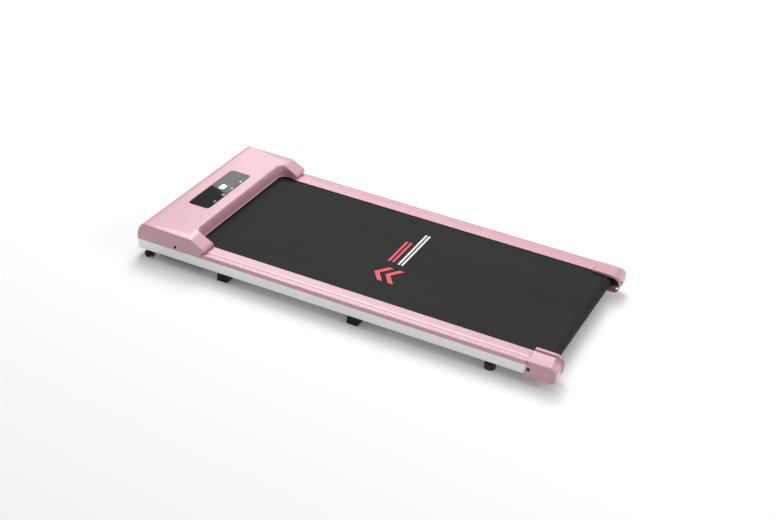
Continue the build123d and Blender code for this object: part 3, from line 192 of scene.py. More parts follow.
def zinc_plate(name):
    """Bright zinc plating with its uneven bluish and yellowish bloom."""
    colour = (0.60, 0.61, 0.63)
    finish = Finish(name, colour, 0.34, metallic=1.0)
    finish.tint(finish.cells(55), 0.1, 0.7, (0.66, 0.64, 0.55))
    finish.tint(finish.noise(90, 5), 0.55, 0.75, (0.50, 0.54, 0.62))
    finish.gloss(finish.noise(50, 4), 0.3, 0.7, 0.1)
    finish.bump(finish.noise(420, 3), 0.00002)
    return finish.material


def moulded_rubber(name, colour):
    """Dusty moulded rubber."""
    finish = Finish(name, colour, 0.78, specular=0.3)
    finish.tint(finish.noise(70, 6, rough=0.7), 0.5, 0.8, shade(colour, 2.2))
    finish.gloss(finish.noise(35, 4), 0.3, 0.7, 0.08)
    finish.bump(finish.noise(900, 3), 0.00005)
    return finish.material


def walking_belt(name):
    """PVC belt top: close embossed pebble, a faint cross weave and light scuffs."""
    colour = (0.0205, 0.0205, 0.0202)
    finish = Finish(name, colour, 0.62, specular=0.06)
    finish.tint(finish.noise(7, 5, (0.35, 1, 1)), 0.40, 0.75, shade(colour, 1.22))
    finish.tint(finish.noise(220, 4, rough=0.8), 0.68, 0.80, shade(colour, 1.7))
    finish.gloss(finish.noise(11, 4, (0.4, 1, 1)), 0.3, 0.7, 0.05)
    finish.bump(finish.cells(620), 0.00022)
    finish.bump(finish.wave(150, "Y", 0.6), 0.00003)
    finish.bump(finish.wave(150, "X", 0.6), 0.00003)
    return finish.material


def glass_black(name):
    """Back-printed acrylic: deep black with a hard clear surface and hairline wipes."""
    colour = (0.012, 0.014, 0.013)
    finish = Finish(name, colour, 0.03, specular=0.15)
    finish.tint(finish.noise(20, 3), 0.4, 0.8, shade(colour, 1.35))
    finish.gloss(finish.noise(35, 6, (1, 6, 1)), 0.35, 0.75, 0.01)
    finish.bump(finish.noise(25, 2), 0.00001, 0.4)
    return finish.material


def deck_board(name):
    """Wood-fibre board with a waxed dark face."""
    colour = (0.30, 0.20, 0.12)
    finish = Finish(name, colour, 0.5)
    finish.tint(finish.noise(260, 6, (1, 0.35, 1), rough=0.8), 0.4, 0.7, (0.42, 0.30, 0.19))
    finish.tint(finish.noise(40, 4), 0.5, 0.8, (0.22, 0.14, 0.085))
    finish.gloss(finish.noise(30, 3), 0.3, 0.7, 0.08)
    finish.bump(finish.noise(500, 4), 0.00006)
    return finish.material


def circuit_board(name):
    """Solder mask over copper tracks."""
    colour = (0.02, 0.14, 0.06)
    finish = Finish(name, colour, 0.3, coat=0.4)
    finish.tint(finish.cells(190, (1, 1, 0.01), "DISTANCE_TO_EDGE"), 0.03, 0.05, (0.04, 0.24, 0.10))
    finish.tint(finish.cells(420, (1, 1, 0.01)), 0.24, 0.2, (0.62, 0.60, 0.52))
    finish.gloss(finish.noise(90, 3), 0.3, 0.7, 0.05)
    finish.bump(finish.cells(190, (1, 1, 0.01), "DISTANCE_TO_EDGE"), 0.00003)
    return finish.material


def windings(name):
    """Laminated iron with varnished copper wire."""
    finish = Finish(name, (0.42, 0.20, 0.09), 0.3, metallic=0.85, coat=0.5)
    finish.tint(finish.wave(260, "X", 1.2), 0.35, 0.65, (0.20, 0.085, 0.035))
    finish.gloss(finish.noise(60, 3), 0.3, 0.7, 0.06)
    finish.bump(finish.wave(260, "X", 1.2), 0.0002)
    return finish.material


def cast_grey(name, colour, metallic):
    """Sintered or cast surface."""
    finish = Finish(name, colour, 0.55, metallic=metallic)
    finish.tint(finish.noise(120, 6, rough=0.75), 0.45, 0.7, shade(colour, 0.7))
    finish.gloss(finish.noise(60, 4), 0.3, 0.7, 0.08)
    finish.bump(finish.noise(500, 4), 0.0001)
    return finish.material


def printed(name, colour, glow=0.0):
    """Screen-printed ink; where glow is above 0 it also emits light, as the lit window does and as
    painted glow on the key ink.
    """
    finish = Finish(name, colour, 0.45)
    finish.tint(finish.noise(300, 4), 0.5, 0.8, shade(colour, 0.88))
    finish.gloss(finish.noise(90, 3), 0.3, 0.7, 0.05)
    finish.bump(finish.noise(800, 2), 0.00001)
    if glow:
        finish.set("Emission Color", (*colour, 1))
        finish.set("Emission Strength", glow)
    return finish.material


PINK = (0.602, 0.325, 0.374)
WHITE = (0.87, 0.88, 0.875)
BLACK = (0.012, 0.012, 0.013)
finishes = {
    "pink_plastic": moulded("pink_plastic_shell", PINK, 0.36, coat=0.75),
    "white_steel": powder_coat("white_powder_coat", WHITE, 0.40, 0.35),
    "grey_plastic": moulded("grey_pan_plastic", (0.23, 0.24, 0.25), 0.55, 0.00004),
    "deck_board": deck_board("waxed_deck"),
    "belt_rubber": walking_belt("walking_belt_top"),
    "bright_steel": turned_steel("turned_steel", (0.66, 0.67, 0.68), 0.22, (1, 14, 1)),
    "zinc_steel": zinc_plate("zinc_plate"),
    "black_rubber": moulded_rubber("black_rubber_part", BLACK),
    "black_plastic": moulded("black_plastic_part", BLACK, 0.42, 0.00003),
    "lens_black": glass_black("console_acrylic"),
    "circuit_board": circuit_board("green_board"),
    "black_steel": turned_steel("black_oxide_steel", (0.035, 0.035, 0.037), 0.3, (1, 1, 14)),
    "aluminium": turned_steel("extruded_aluminium", (0.72, 0.73, 0.74), 0.32, (14, 1, 1)),
    "motor_paint": powder_coat("motor_can_paint", (0.03, 0.03, 0.033), 0.35),
    "magnet": cast_grey("sintered_magnet", (0.16, 0.16, 0.17), 0.6),
    "core": windings("wound_core"),
}


def dress(node, material):
    """Gives a CAD node one material."""
    mesh = nodes[node].data
    mesh.materials.clear()
    mesh.materials.append(material)


for part in frame["record"]["subparts"]:
    dress(part["node"], finishes[part["material_slot"]])
for name in ("left_tension_bolt", "right_tension_bolt", "rear_roller_brackets"):
    dress(name, finishes["black_steel"])


def soften(node, width, angle=35, segments=3):
    """Rounds a CAD node's sharp edges for the eye, with modifiers only."""
    piece = nodes[node]
    weld = piece.modifiers.new("Weld", "WELD")
    weld.merge_threshold = 0.000005
    flat = piece.modifiers.new("Flat", "DECIMATE")
    flat.decimate_type = "DISSOLVE"
    flat.angle_limit = math.radians(0.4)
    bevel = piece.modifiers.new("Edge", "BEVEL")
    bevel.width = width * MM
    bevel.segments = segments
    bevel.limit_method = "ANGLE"
    bevel.angle_limit = math.radians(angle)
    bevel.miter_outer = "MITER_ARC"
    normals = piece.modifiers.new("Normals", "WEIGHTED_NORMAL")
    normals.keep_sharp = False
    normals.weight = 60


def make_piece(name, vertices, faces, material, slot, body="root"):
    """Mesh piece from millimetre vertices, dressed and riding on a body."""
    mesh = bpy.data.meshes.new(name)
    mesh.from_pydata([Vector(v) * MM for v in vertices], [], faces)
    mesh.validate()
    mesh.materials.append(material)
    piece = bpy.data.objects.new(name, mesh)
    bpy.context.scene.collection.objects.link(piece)
    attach(piece, body)
    return piece


def clean(piece, merge=0.000008, sharp=40):
    """Merges doubled points, points faces outwards and sets smooth shading."""
    work = bmesh.new()
    work.from_mesh(piece.data)
    bmesh.ops.remove_doubles(work, verts=work.verts, dist=merge)
    bmesh.ops.dissolve_degenerate(work, edges=work.edges, dist=merge / 2)
    bmesh.ops.recalc_face_normals(work, faces=work.faces)
    for face in work.faces:
        face.smooth = True
    for edge in work.edges:
        edge.smooth = edge.calc_face_angle(0) < math.radians(sharp)
    work.to_mesh(piece.data)
    work.free()


# ---- Motor hood ---------------------------------------------------------------------
# The outer skin is sampled flat, by length along the side outline and place across the hood,
# meshed there, and then lifted to the outline's height, the strips that slope to the sides,
# the wall round the belt opening and the console's pocket.
hood_low, hood_high = box_mm("motor_hood")
lens_low, lens_high = box_mm("console_lens")
cover_low, cover_high = box_mm("left_rail_cover")
screw_low, screw_high = box_mm("hood_screws")
FRONT = hood_low.x
BOTTOM = hood_low.z
TOP = hood_high.z
HALF_WIDTH = hood_high.y
NOSE = hood_high.x
EDGE_TOP = TOP - 2.5
CREST = NOSE - 35.5
SLOPE = 0.5134
SLOPE_START = CREST - (TOP - EDGE_TOP) / SLOPE
COVER_TOP = cover_high.z
COVER_START = cover_low.x - 0.4
BEVEL_AT_FRONT = 2.0
BEVEL_AT_CREST = 23.0
EDGE_FILLET = 2.0
CREASE_SPREAD = 0.35
CREASE_REACH = 8
OPENING_HALF = -cover_high.y
OPENING_START = FRONT + 140.8
OPENING_CORNER = 18.0
REAR_STRAIGHT = OPENING_HALF - OPENING_CORNER
LIP_TOP = 62.0
LIP_BOTTOM = 60.0
REAR_LEDGE = 2.6
ARM_LEDGE = 0.9
LIP_FILLET = 0.7
FOOT_WALL_SHARE = 0.43
FOOT_WALL_LEAN = 0.03
REAR_LEAN = 0.22
ARM_LEAN = 0.06
WALL_ROUNDING = 5.0
WALL_REACH = 26
WALL_SAMPLES_REACH = 22
CORNER_STEPS = 13
REAR_STEPS = 56
POCKET_CORNER = 9.2
POCKET_GAP = 0.2
POCKET_FILLET = 0.5
POCKET_DEPTH = 1.9
SCREW_HOLE_RADIUS = 4.0
SCREW_HOLE_DEPTH = 1.75
SCREW_SEAT_RADIUS = 2.1
LONGEST_STEP = 9
FRONT_FACE_LENGTH = 40
FLAT_MERGE = 0.0005
SKIN = 2.2
pocket_centre = (lens_low + lens_high) / 2
pocket_half = (lens_high - lens_low) / 2 + Vector((POCKET_GAP, POCKET_GAP, 0))


def rounded_path(corners, radii, step=math.radians(7)):
    """Points along a polyline in a plane, with its inner corners rounded by arcs."""
    path = [Vector(corners[0])]
    for before, corner, after, radius in zip(corners, corners[1:], corners[2:], radii):
        middle = Vector(corner)
        back = (Vector(before) - middle).normalized()
        ahead = (Vector(after) - middle).normalized()
        half = back.angle(ahead) / 2
        centre = middle + (back + ahead).normalized() * (radius / math.sin(half))
        first = middle + back * (radius / math.tan(half)) - centre
        turn = math.pi - 2 * half
        turn *= 1 if back.cross(ahead) < 0 else -1
        count = max(2, math.ceil(abs(turn) / step))
        for index in range(count + 1):
            path.append(centre + Matrix.Rotation(turn * index / count, 2) @ first)
    path.append(Vector(corners[-1]))
    return path


def spaced(path, longest):
    """The same path with long runs divided."""
    result = [path[0]]
    for start, end in zip(path, path[1:]):
        count = max(1, math.ceil((end - start).length / longest))
        for index in range(1, count + 1):
            result.append(start.lerp(end, index / count))
    return result


class Profile:
    """The hood's side outline, walked by length from the front's foot over the top to the nose."""

    def __init__(self):
        crest_fall = (NOSE - SLOPE_START) * SLOPE
        corners = [(FRONT, BOTTOM), (FRONT, 66), (FRONT + 9, TOP), (SLOPE_START, TOP),
                   (NOSE, TOP - crest_fall), (NOSE, COVER_TOP + 3), (COVER_START, COVER_TOP)]
        self.points = spaced(rounded_path(corners, [30, 20, 38, 8, 1.5]), LONGEST_STEP)
        self.lengths = [0.0]
        for start, end in zip(self.points, self.points[1:]):
            self.lengths.append(self.lengths[-1] + (end - start).length)
        self.normals = []
        last = len(self.points) - 1
        for index in range(last + 1):
            along = self.points[min(index + 1, last)] - self.points[max(index - 1, 0)]
            self.normals.append(Vector((-along.y, along.x)).normalized())

    def at(self, length):
        """Point and outward normal at a length along the outline."""
        last = len(self.lengths) - 1
        high = next((i for i, value in enumerate(self.lengths) if value >= length), last)
        low = max(high - 1, 0)
        span = self.lengths[high] - self.lengths[low]
        part = (length - self.lengths[low]) / span if span else 0
        return (self.points[low].lerp(self.points[high], part),
                self.normals[low].lerp(self.normals[high], part))

    def length_at(self, x):
        """Length where the top of the outline reaches x."""
        for index, (start, end) in enumerate(zip(self.points, self.points[1:])):
            if start.x <= x < end.x:
                part = (x - start.x) / (end.x - start.x)
                return self.lengths[index] + (end - start).length * part
        return self.lengths[-1]


profile = Profile()


def opening_distance(x, y):
    """Distance outwards from the belt opening's outline in plan; below 0 inside it."""
    across = OPENING_START + OPENING_CORNER - x
    aside = abs(y) - REAR_STRAIGHT
    if across > 0 and aside > 0:
        return math.hypot(across, aside) - OPENING_CORNER
    return max(across, aside) - OPENING_CORNER


def pocket_distance(x, y):
    """Distance outwards from the console pocket's outline in plan."""
    along = abs(x - pocket_centre.x) - (pocket_half.x - POCKET_CORNER)
    aside = abs(y - pocket_centre.y) - (pocket_half.y - POCKET_CORNER)
    if along > 0 and aside > 0:
        return math.hypot(along, aside) - POCKET_CORNER
    return max(along, aside) - POCKET_CORNER


def round_over(distance, radius):
    """How far an edge fillet falls away at a distance in from the edge."""
    if distance >= radius:
        return 0.0
    return radius - math.sqrt(max(0.0, radius * radius - (radius - distance) ** 2))


def soft_min(first, second, spread):
    """The lower of two heights, with the crease between them rounded."""
    blend = max(spread - abs(first - second), 0) / spread
    return min(first, second) - blend * blend * spread / 4


def wall_height(top, distance, lean, ledge):
    """Height of the wall round the opening: lip, upright foot, leaning upper part and rounding."""
    if distance <= ledge:
        return min(top, LIP_TOP) - round_over(distance, LIP_FILLET)
    rise = top - LIP_TOP
    if rise <= 0.3:
        return top
    foot = rise * FOOT_WALL_SHARE
    knee = ledge + foot * FOOT_WALL_LEAN
    if distance < knee:
        return LIP_TOP + (distance - ledge) / FOOT_WALL_LEAN
    angle = math.atan2(1, lean)
    upper = rise - foot
    radius = min(WALL_ROUNDING, upper * 0.9)
    crest = knee + upper * lean
    tangent = radius * math.tan(angle / 2)
    if distance < crest - tangent * math.cos(angle):
        return LIP_TOP + foot + (distance - knee) / lean
    if distance < crest + tangent:
        reach = distance - crest - tangent
        return top - radius + math.sqrt(max(0.0, radius * radius - reach ** 2))
    return top


def bevel_width(x):
    """Width of the strip that slopes to the side, which grows from the front to the crest."""
    part = (x - FRONT) / (CREST - FRONT)
    return BEVEL_AT_FRONT + (BEVEL_AT_CREST - BEVEL_AT_FRONT) * min(max(part, 0), 1)


def hood_point(length, y):
    """Point of the hood's outer skin, from a length along its outline and a place across it."""
    point, normal = profile.at(length)
    edge = HALF_WIDTH - abs(y)
    fall = round_over(edge, EDGE_FILLET)
    x = point.x - normal.x * fall
    z = point.y
    strip = EDGE_TOP + (TOP - EDGE_TOP) * edge / bevel_width(point.x)
    if edge < bevel_width(point.x) + CREASE_REACH:
        z = soft_min(z, strip, CREASE_SPREAD)
    z -= normal.y * fall
    distance = opening_distance(point.x, y)
    if distance < WALL_REACH:
        blend = min(max((point.x - OPENING_START) / OPENING_CORNER, 0), 1)
        lean = REAR_LEAN + (ARM_LEAN - REAR_LEAN) * blend
        ledge = REAR_LEDGE + (ARM_LEDGE - REAR_LEDGE) * blend
        z = min(z, wall_height(z, distance, lean, ledge))
    z -= round_over(max(pocket_distance(point.x, y), 0), POCKET_FILLET)
    return Vector((x, y, z))


def loop_edges(first, count):
    """Edges of a closed loop over consecutive vertices."""
    return [(first + i, first + (i + 1) % count) for i in range(count)]


def ring(centre, radius, count=28):
    """Points round a circle in a plane."""
    return [Vector((centre[0] + radius * math.cos(math.tau * i / count),
                    centre[1] + radius * math.sin(math.tau * i / count))) for i in range(count)]


def rounded_rectangle(centre, half, corner, gap, step=9):
    """Closed outline in plan, its corners rounded, standing a gap outside the given size."""
    outline = []
    for sx, sy, start in ((1, 1, 0), (-1, 1, 90), (-1, -1, 180), (1, -1, 270)):
        middle = (centre[0] + sx * (half[0] - corner), centre[1] + sy * (half[1] - corner))
        for index in range(step + 1):
            angle = math.radians(start + 90 * index / step)
            reach = corner + gap
            outline.append(Vector((middle[0] + reach * math.cos(angle),
                                   middle[1] + reach * math.sin(angle))))
    dense = []
    for start, end in zip(outline, outline[1:] + outline[:1]):
        count = max(1, math.ceil((end - start).length / LONGEST_STEP))
        dense += [start.lerp(end, i / count) for i in range(count)]
    return dense


def rear_places():
    """Evenly spaced places across the straight rear wall of the opening, without its two ends."""
    return [-REAR_STRAIGHT + 2 * REAR_STRAIGHT * i / REAR_STEPS for i in range(1, REAR_STEPS)]


def hood_samples():
    """Flat sample points (length along the outline, y) of the hood's skin, and its fixed edges."""
    arm_start = profile.length_at(OPENING_START + OPENING_CORNER)
    # Places in from the hood's side, and out from the opening; creases are kept as edges
    edge_steps = (0, 0.12, 0.35, 0.7, 1.1, 1.55, 2.0, 3.2, 5)
    crease_steps = (0, 2.85, 3.15)
    wall_steps = (0, 0.25, 0.5, 0.8, 2.0, 2.85, 3.15, 4.2, 5.2, 6.2, 7.2, 8.2, 9.0, 9.8, 10.6, 11.4,
                  12.2, 13, 14, 15, 16, 17, 18.2, 19.5, 21)
    across = [y for step in edge_steps for y in (HALF_WIDTH - step, step - HALF_WIDTH)]
    across += [8.0 * index for index in range(-31, 32)]
    points, edges = [], []

    def off_wall(x, y):
        return opening_distance(x, y) > WALL_SAMPLES_REACH

    def off_features(x, y):
        return off_wall(x, y) and abs(pocket_distance(x, y)) > 2

    for length in profile.lengths:
        x = profile.at(length)[0].x
        for y in across:
            if off_features(x, y) or (length > arm_start and off_wall(x, y)):
                points.append((length, y))
        for offset in (-1.6, -0.8, 0, 0.8, 1.6):
            for side in (-1, 1):
                y = side * (HALF_WIDTH - bevel_width(x) - offset)
                if x < CREST + 6 and bevel_width(x) > 5 and off_features(x, y):
                    points.append((length, y))
    arm_lengths = [value for value in profile.lengths if value > arm_start] + [arm_start]
    for step in wall_steps:
        line = []
        for length in sorted(arm_lengths, reverse=True):
            line.append((length, -OPENING_HALF - step))
        reach = OPENING_CORNER + step
        for index in range(1, CORNER_STEPS + 1):
            angle = math.radians(90 * index / CORNER_STEPS)
            corner_x = OPENING_START + OPENING_CORNER - reach * math.sin(angle)
            line.append((profile.length_at(corner_x), -REAR_STRAIGHT - reach * math.cos(angle)))
        rear = profile.length_at(OPENING_START - step)
        mirrored = [(length, -y) for length, y in reversed(line)]
        whole = line + [(rear, y) for y in rear_places()] + mirrored
        if step in crease_steps:
            first = len(points)
            edges += [(first + i, first + i + 1) for i in range(len(whole) - 1)]
        points += whole
    for gap in (0, 0.12, 0.3, 0.5, 1.4):
        outline = rounded_rectangle(pocket_centre, pocket_half, POCKET_CORNER, gap)
        if gap == 0:
            edges += loop_edges(len(points), len(outline))
        points += [(profile.length_at(p.x), p.y) for p in outline]
    points += [(profile.lengths[-1], -OPENING_HALF), (profile.lengths[-1], OPENING_HALF)]
    return points, edges


def hood_skin():
    """Vertices and faces of the hood's top, front and opening walls."""
    points, edges = hood_samples()
    flat, _, triangles, *_ = delaunay_2d_cdt([Vector(p) for p in points], edges, [], 0, FLAT_MERGE)
    kept = []
    for triangle in triangles:
        middle = sum((flat[i] for i in triangle), Vector((0, 0))) / 3
        x = profile.at(middle.x)[0].x
        inside_pocket = pocket_distance(x, middle.y) < 0 and middle.x > FRONT_FACE_LENGTH
        if opening_distance(x, middle.y) > 0 and not inside_pocket:
            kept.append(tuple(triangle))
    return [hood_point(*p) for p in flat], kept


def strip_between(vertices, faces, first, second, closed):
    """Quads between two rows of vertices."""
    start = len(vertices)
    count = len(first)
    vertices += first + second
    for index in range(count if closed else count - 1):
        after = (index + 1) % count
        faces.append((start + index, start + after, start + count + after, start + count + index))


def build_hood():
    """The hood's skin, sides, lip and console pocket as one shell, in place of the CAD cover."""
    vertices, faces = hood_skin()
    # Flat sides, each with the recessed hole of its screw
    screw = ((screw_low.x + screw_high.x) / 2, (screw_low.z + screw_high.z) / 2)
    for side in (-1, 1):
        y = side * HALF_WIDTH
        outline = [hood_point(length, y) for length in profile.lengths]
        outline = [Vector((p.x, p.z)) for p in outline]
        outline[-1] = Vector((COVER_START, outline[-1].y))
        outline.append(Vector((COVER_START, BOTTOM)))
        hole = ring(screw, SCREW_HOLE_RADIUS)
        loops = loop_edges(0, len(outline)) + loop_edges(len(outline), len(hole))
        flat, _, triangles, *_ = delaunay_2d_cdt(outline + hole, loops, [], 1, FLAT_MERGE)
        first = len(vertices)
        vertices += [Vector((p.x, y, p.y)) for p in flat]
        for triangle in triangles:
            middle = sum((flat[i] for i in triangle), Vector((0, 0))) / 3
            if (middle - Vector(screw)).length > SCREW_HOLE_RADIUS * 0.99:
                faces.append(tuple(first + i for i in triangle))
        rows = [(SCREW_HOLE_RADIUS, 0.0), (SCREW_HOLE_RADIUS, SCREW_HOLE_DEPTH),
                (SCREW_SEAT_RADIUS, SCREW_HOLE_DEPTH)]
        circles = [[Vector((p.x, side * (HALF_WIDTH - depth), p.y)) for p in ring(screw, radius)]
                   for radius, depth in rows]
        for outer, inner in zip(circles, circles[1:]):
            strip_between(vertices, faces, outer, inner, True)
    # The lip's edge turns down towards the belt
    arm_start = profile.length_at(OPENING_START + OPENING_CORNER)
    lip = []
    for length in reversed([value for value in profile.lengths if value > arm_start]):
        lip.append((profile.at(length)[0].x, -OPENING_HALF))
    for index in range(CORNER_STEPS + 1):
        angle = math.radians(90 * index / CORNER_STEPS)
        lip.append((OPENING_START + OPENING_CORNER * (1 - math.sin(angle)),
                    -REAR_STRAIGHT - OPENING_CORNER * math.cos(angle)))
    mirrored = [(x, -y) for x, y in reversed(lip)]
    lip += [(OPENING_START, y) for y in rear_places()] + mirrored
    upper = [Vector((x, y, LIP_TOP - LIP_FILLET)) for x, y in lip]
    lower = [Vector((x, y, LIP_BOTTOM)) for x, y in lip]
    strip_between(vertices, faces, upper, lower, False)
    # Pocket wall under the rim of the console
    rim = rounded_rectangle(pocket_centre, pocket_half, POCKET_CORNER, 0)
    strip_between(vertices, faces, [Vector((p.x, p.y, TOP - POCKET_FILLET)) for p in rim],
                  [Vector((p.x, p.y, TOP - POCKET_DEPTH)) for p in rim], True)
    hood = make_piece("hood_shell", vertices, faces, finishes["pink_plastic"], "pink_plastic")
    clean(hood, 0.00003, 55)
    shell = hood.modifiers.new("Shell", "SOLIDIFY")
    shell.thickness = SKIN * MM
    shell.offset = -1
    normals = hood.modifiers.new("Normals", "WEIGHTED_NORMAL")
    normals.keep_sharp = True
    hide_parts("motor_hood")


build_hood()

# ---- End caps: the CAD shells with moulded edge radii ---------------------------------
cap_low, _ = box_mm("right_end_cap")
FIN_INNER = cap_low.y
FIN_OUTER = OPENING_HALF + 1
CAP_DECK = COVER_TOP + 0.7
CAP_ROUNDING = 2.0
FIN_ROUNDING = 3.0
ON_PLANE = 0.02


def build_cap(side_name):
    """Copies a CAD cap and rounds the edges of its outer side, its inner side and its fin."""
    node = f"{side_name}_end_cap"
    work = bmesh.new()
    work.from_mesh(nodes[node].data)
    bmesh.ops.remove_doubles(work, verts=work.verts, dist=0.000005)
    bmesh.ops.dissolve_limit(work, angle_limit=math.radians(0.5), verts=work.verts,
                             edges=work.edges)

    def round_edges(test, width):
        """Bevels the sharp edges whose two ends both pass the test."""
        chosen = []
        for edge in work.edges:
            if len(edge.link_faces) == 2 and edge.calc_face_angle(0) > math.radians(30):
                if all(test(v.co / MM) for v in edge.verts):
                    chosen.append(edge)
        bmesh.ops.bevel(work, geom=chosen, offset=width * MM, segments=5, profile=0.5,
                        affect="EDGES", clamp_overlap=False)

    round_edges(lambda p: abs(abs(p.y) - HALF_WIDTH) < ON_PLANE, CAP_ROUNDING)
    round_edges(lambda p: abs(abs(p.y) - FIN_INNER) < ON_PLANE and p.z > CAP_DECK, CAP_ROUNDING)
    round_edges(lambda p: FIN_INNER + 4 < abs(p.y) < FIN_OUTER and p.z > CAP_DECK, FIN_ROUNDING)
    for vertex in work.verts:
        vertex.co.y = max(-HALF_WIDTH * MM, min(HALF_WIDTH * MM, vertex.co.y))
    mesh = bpy.data.meshes.new(f"{side_name}_cap_shell")
    for face in work.faces:
        face.smooth = True
    work.to_mesh(mesh)
    work.free()
    mesh.materials.append(finishes["pink_plastic"])
    piece = bpy.data.objects.new(f"{side_name}_cap_shell", mesh)
    bpy.context.scene.collection.objects.link(piece)
    normals = piece.modifiers.new("Normals", "WEIGHTED_NORMAL")
    normals.weight = 60
    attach(piece, "root")
    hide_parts(node)


for name in ("left", "right"):
    build_cap(name)

# ---- Soft edges on the CAD pieces that show ------------------------------------------
for name in ("left_rail_cover", "right_rail_cover"):
    soften(name, 0.25, 50, 2)
for name in ("left_side_rail", "right_side_rail", "front_cross_member", "belly_pan"):
    soften(name, 0.5, 50, 2)
for name in ("rubber_feet", "wheel_brackets", "power_inlet", "switch_housing", "switch_rocker",
             "breaker_body"):
    soften(name, 0.35, 50, 2)
for name in ("hood_screws", "end_cap_screws", "deck_screws", "left_tension_bolt",
             "right_tension_bolt"):
    soften(name, 0.2, 50, 2)


# ---- Console prints -----------------------------------------------------------------
INK = 0.04
# The white key ink carries a faint painted glow: its emission of 0.35 makes the symbols brighter
# than the lamps alone would.
white_ink_painted_glow = printed("white_key_ink_painted_glow", (0.85, 0.86, 0.86), 0.35)
soft_ink = printed("grey_key_ink", (0.30, 0.31, 0.31))
lit_window = printed("lit_window", (0.86, 0.93, 1.0), 2.2)
digit_ink = printed("digit_ink", (0.10, 0.16, 0.22))


def slab(outlines, z, thickness):
    """Thin plates over closed outlines in plan: vertices and faces."""
    vertices, faces = [], []
    for outline in outlines:
        count = len(outline)
        first = len(vertices)
        vertices += [(x, y, z) for x, y in outline] + [(x, y, z + thickness) for x, y in outline]
        faces.append(tuple(reversed(range(first, first + count))))
        faces.append(tuple(range(first + count, first + 2 * count)))
        for i in range(count):
            after = (i + 1) % count
            faces.append((first + i, first + after, first + count + after, first + count + i))
    return vertices, faces


def bar(x, y, length_x, length_y):
    """Rectangle in plan round its centre."""
    return [(x - length_x / 2, y - length_y / 2), (x + length_x / 2, y - length_y / 2),
            (x + length_x / 2, y + length_y / 2), (x - length_x / 2, y + length_y / 2)]


def arc_pieces(x, y, radius, width, start, stop, count):
    """A curved band as a row of small quads."""
    result = []
    for index in range(count):
        first = math.radians(start + (stop - start) * index / count)
        last = math.radians(start + (stop - start) * (index + 1) / count)
        inner, outer = radius - width / 2, radius + width / 2
        result.append([(x + inner * math.cos(first), y + inner * math.sin(first)),
                       (x + outer * math.cos(first), y + outer * math.sin(first)),
                       (x + outer * math.cos(last), y + outer * math.sin(last)),
                       (x + inner * math.cos(last), y + inner * math.sin(last))])
    return result


def seven_segment(x, y, height, digit):
    """Bars of one seven-segment digit, read from the belt."""
    lit = {0: "abcdef", 3: "abcdg", 5: "acdfg"}[digit]
    width = height * 0.55
    thick = height * 0.15
    places = {"a": (-0.5, 0), "d": (0.5, 0), "g": (0, 0), "f": (-0.25, -0.5), "b": (-0.25, 0.5),
              "e": (0.25, -0.5), "c": (0.25, 0.5)}
    bars = []
    for key in lit:
        along, aside = places[key]
        if key in "adg":
            bars.append(bar(x + along * height, y + aside * width, thick, width * 0.8))
        else:
            bars.append(bar(x + along * height, y + aside * width, height * 0.42, thick))
    return bars


KEY_X = lens_high.x - 6.0
KEY_PITCH = 42.0
lens_face = lens_high.z
key_places = [(KEY_X, KEY_PITCH * (i - 1.5)) for i in range(4)]
(minus_x, minus_y), (power_x, power_y), (stop_x, stop_y), (plus_x, plus_y) = key_places
minus_marks = [bar(minus_x, minus_y, 1.5, 7)]
power_marks = arc_pieces(power_x, power_y, 3.2, 1.1, -140, 140, 18)
power_marks.append(bar(power_x - 2.6, power_y, 4.0, 1.2))
stop_marks = [[(stop_x - 2.8, stop_y - 2.6), (stop_x + 2.8, stop_y - 2.6), (stop_x, stop_y + 3.4)]]
plus_marks = [bar(plus_x, plus_y, 1.5, 7), bar(plus_x - 2.2, plus_y, 2.9, 1.5),
              bar(plus_x + 2.2, plus_y, 2.9, 1.5)]
key_marks = minus_marks + power_marks + stop_marks + plus_marks
make_piece("key_symbols", *slab(key_marks, lens_face, INK), white_ink_painted_glow, "lens_black")

rings = []
for place in key_places:
    rings += arc_pieces(*place, 5.6, 0.35, 0, 360, 30)
make_piece("key_rings", *slab(rings, lens_face, INK), soft_ink, "lens_black")

WINDOW = ((lens_low.x + lens_high.x) / 2, 14.0)
window_outline = [(p.x, p.y) for p in rounded_rectangle(WINDOW, (6.5, 11), 1.5, 0, 4)]
make_piece("display_window", *slab([window_outline], lens_face, INK), lit_window, "lens_black")
digits = []
for index, digit in enumerate((0, 3, 5)):
    digits += seven_segment(WINDOW[0], WINDOW[1] + (index - 1) * 6.2, 7.5, digit)
make_piece("display_digits", *slab(digits, lens_face + INK, INK), digit_ink, "lens_black")

# ---- Belt marking: plain arrows towards the hood and stripes across the belt ----------
_, belt_high = box_mm("running_belt")
red_ink = printed("red_belt_ink", (0.62, 0.02, 0.045))
pale_ink = printed("pale_belt_ink", (0.72, 0.72, 0.72))
PRINT = 0.06
ARROW_CENTRE = -89.0
ARROW_HALF_WIDTH = 33.0
ARROW_TIPS = (18.0, 46.0)
ARROW_DEPTH = 22.0
ARROW_BAND = 13.0
RED_STRIPES = (26.5, 37.5)
RED_SPAN = (-28.0, 80.0)
RED_WIDTH = 6.0
PALE_STRIPES = (53.5, 62.5)
PALE_SPAN = (-32.0, 136.0)
PALE_WIDTH = 5.0


def chevron(x):
    """Two halves of an arrowhead band whose tip, at x, points towards the hood."""
    y = ARROW_CENTRE
    far, inside = x + ARROW_DEPTH, x + ARROW_BAND
    high, low = y + ARROW_HALF_WIDTH, y - ARROW_HALF_WIDTH
    return [[(x, y), (far, high), (far + ARROW_BAND, high), (inside, y)],
            [(inside, y), (far + ARROW_BAND, low), (far, low), (x, y)]]


def stripes(places, span, width):
    """Bars across the belt, centred on the given places along it."""
    return [bar(x, sum(span) / 2, width, span[1] - span[0]) for x in places]


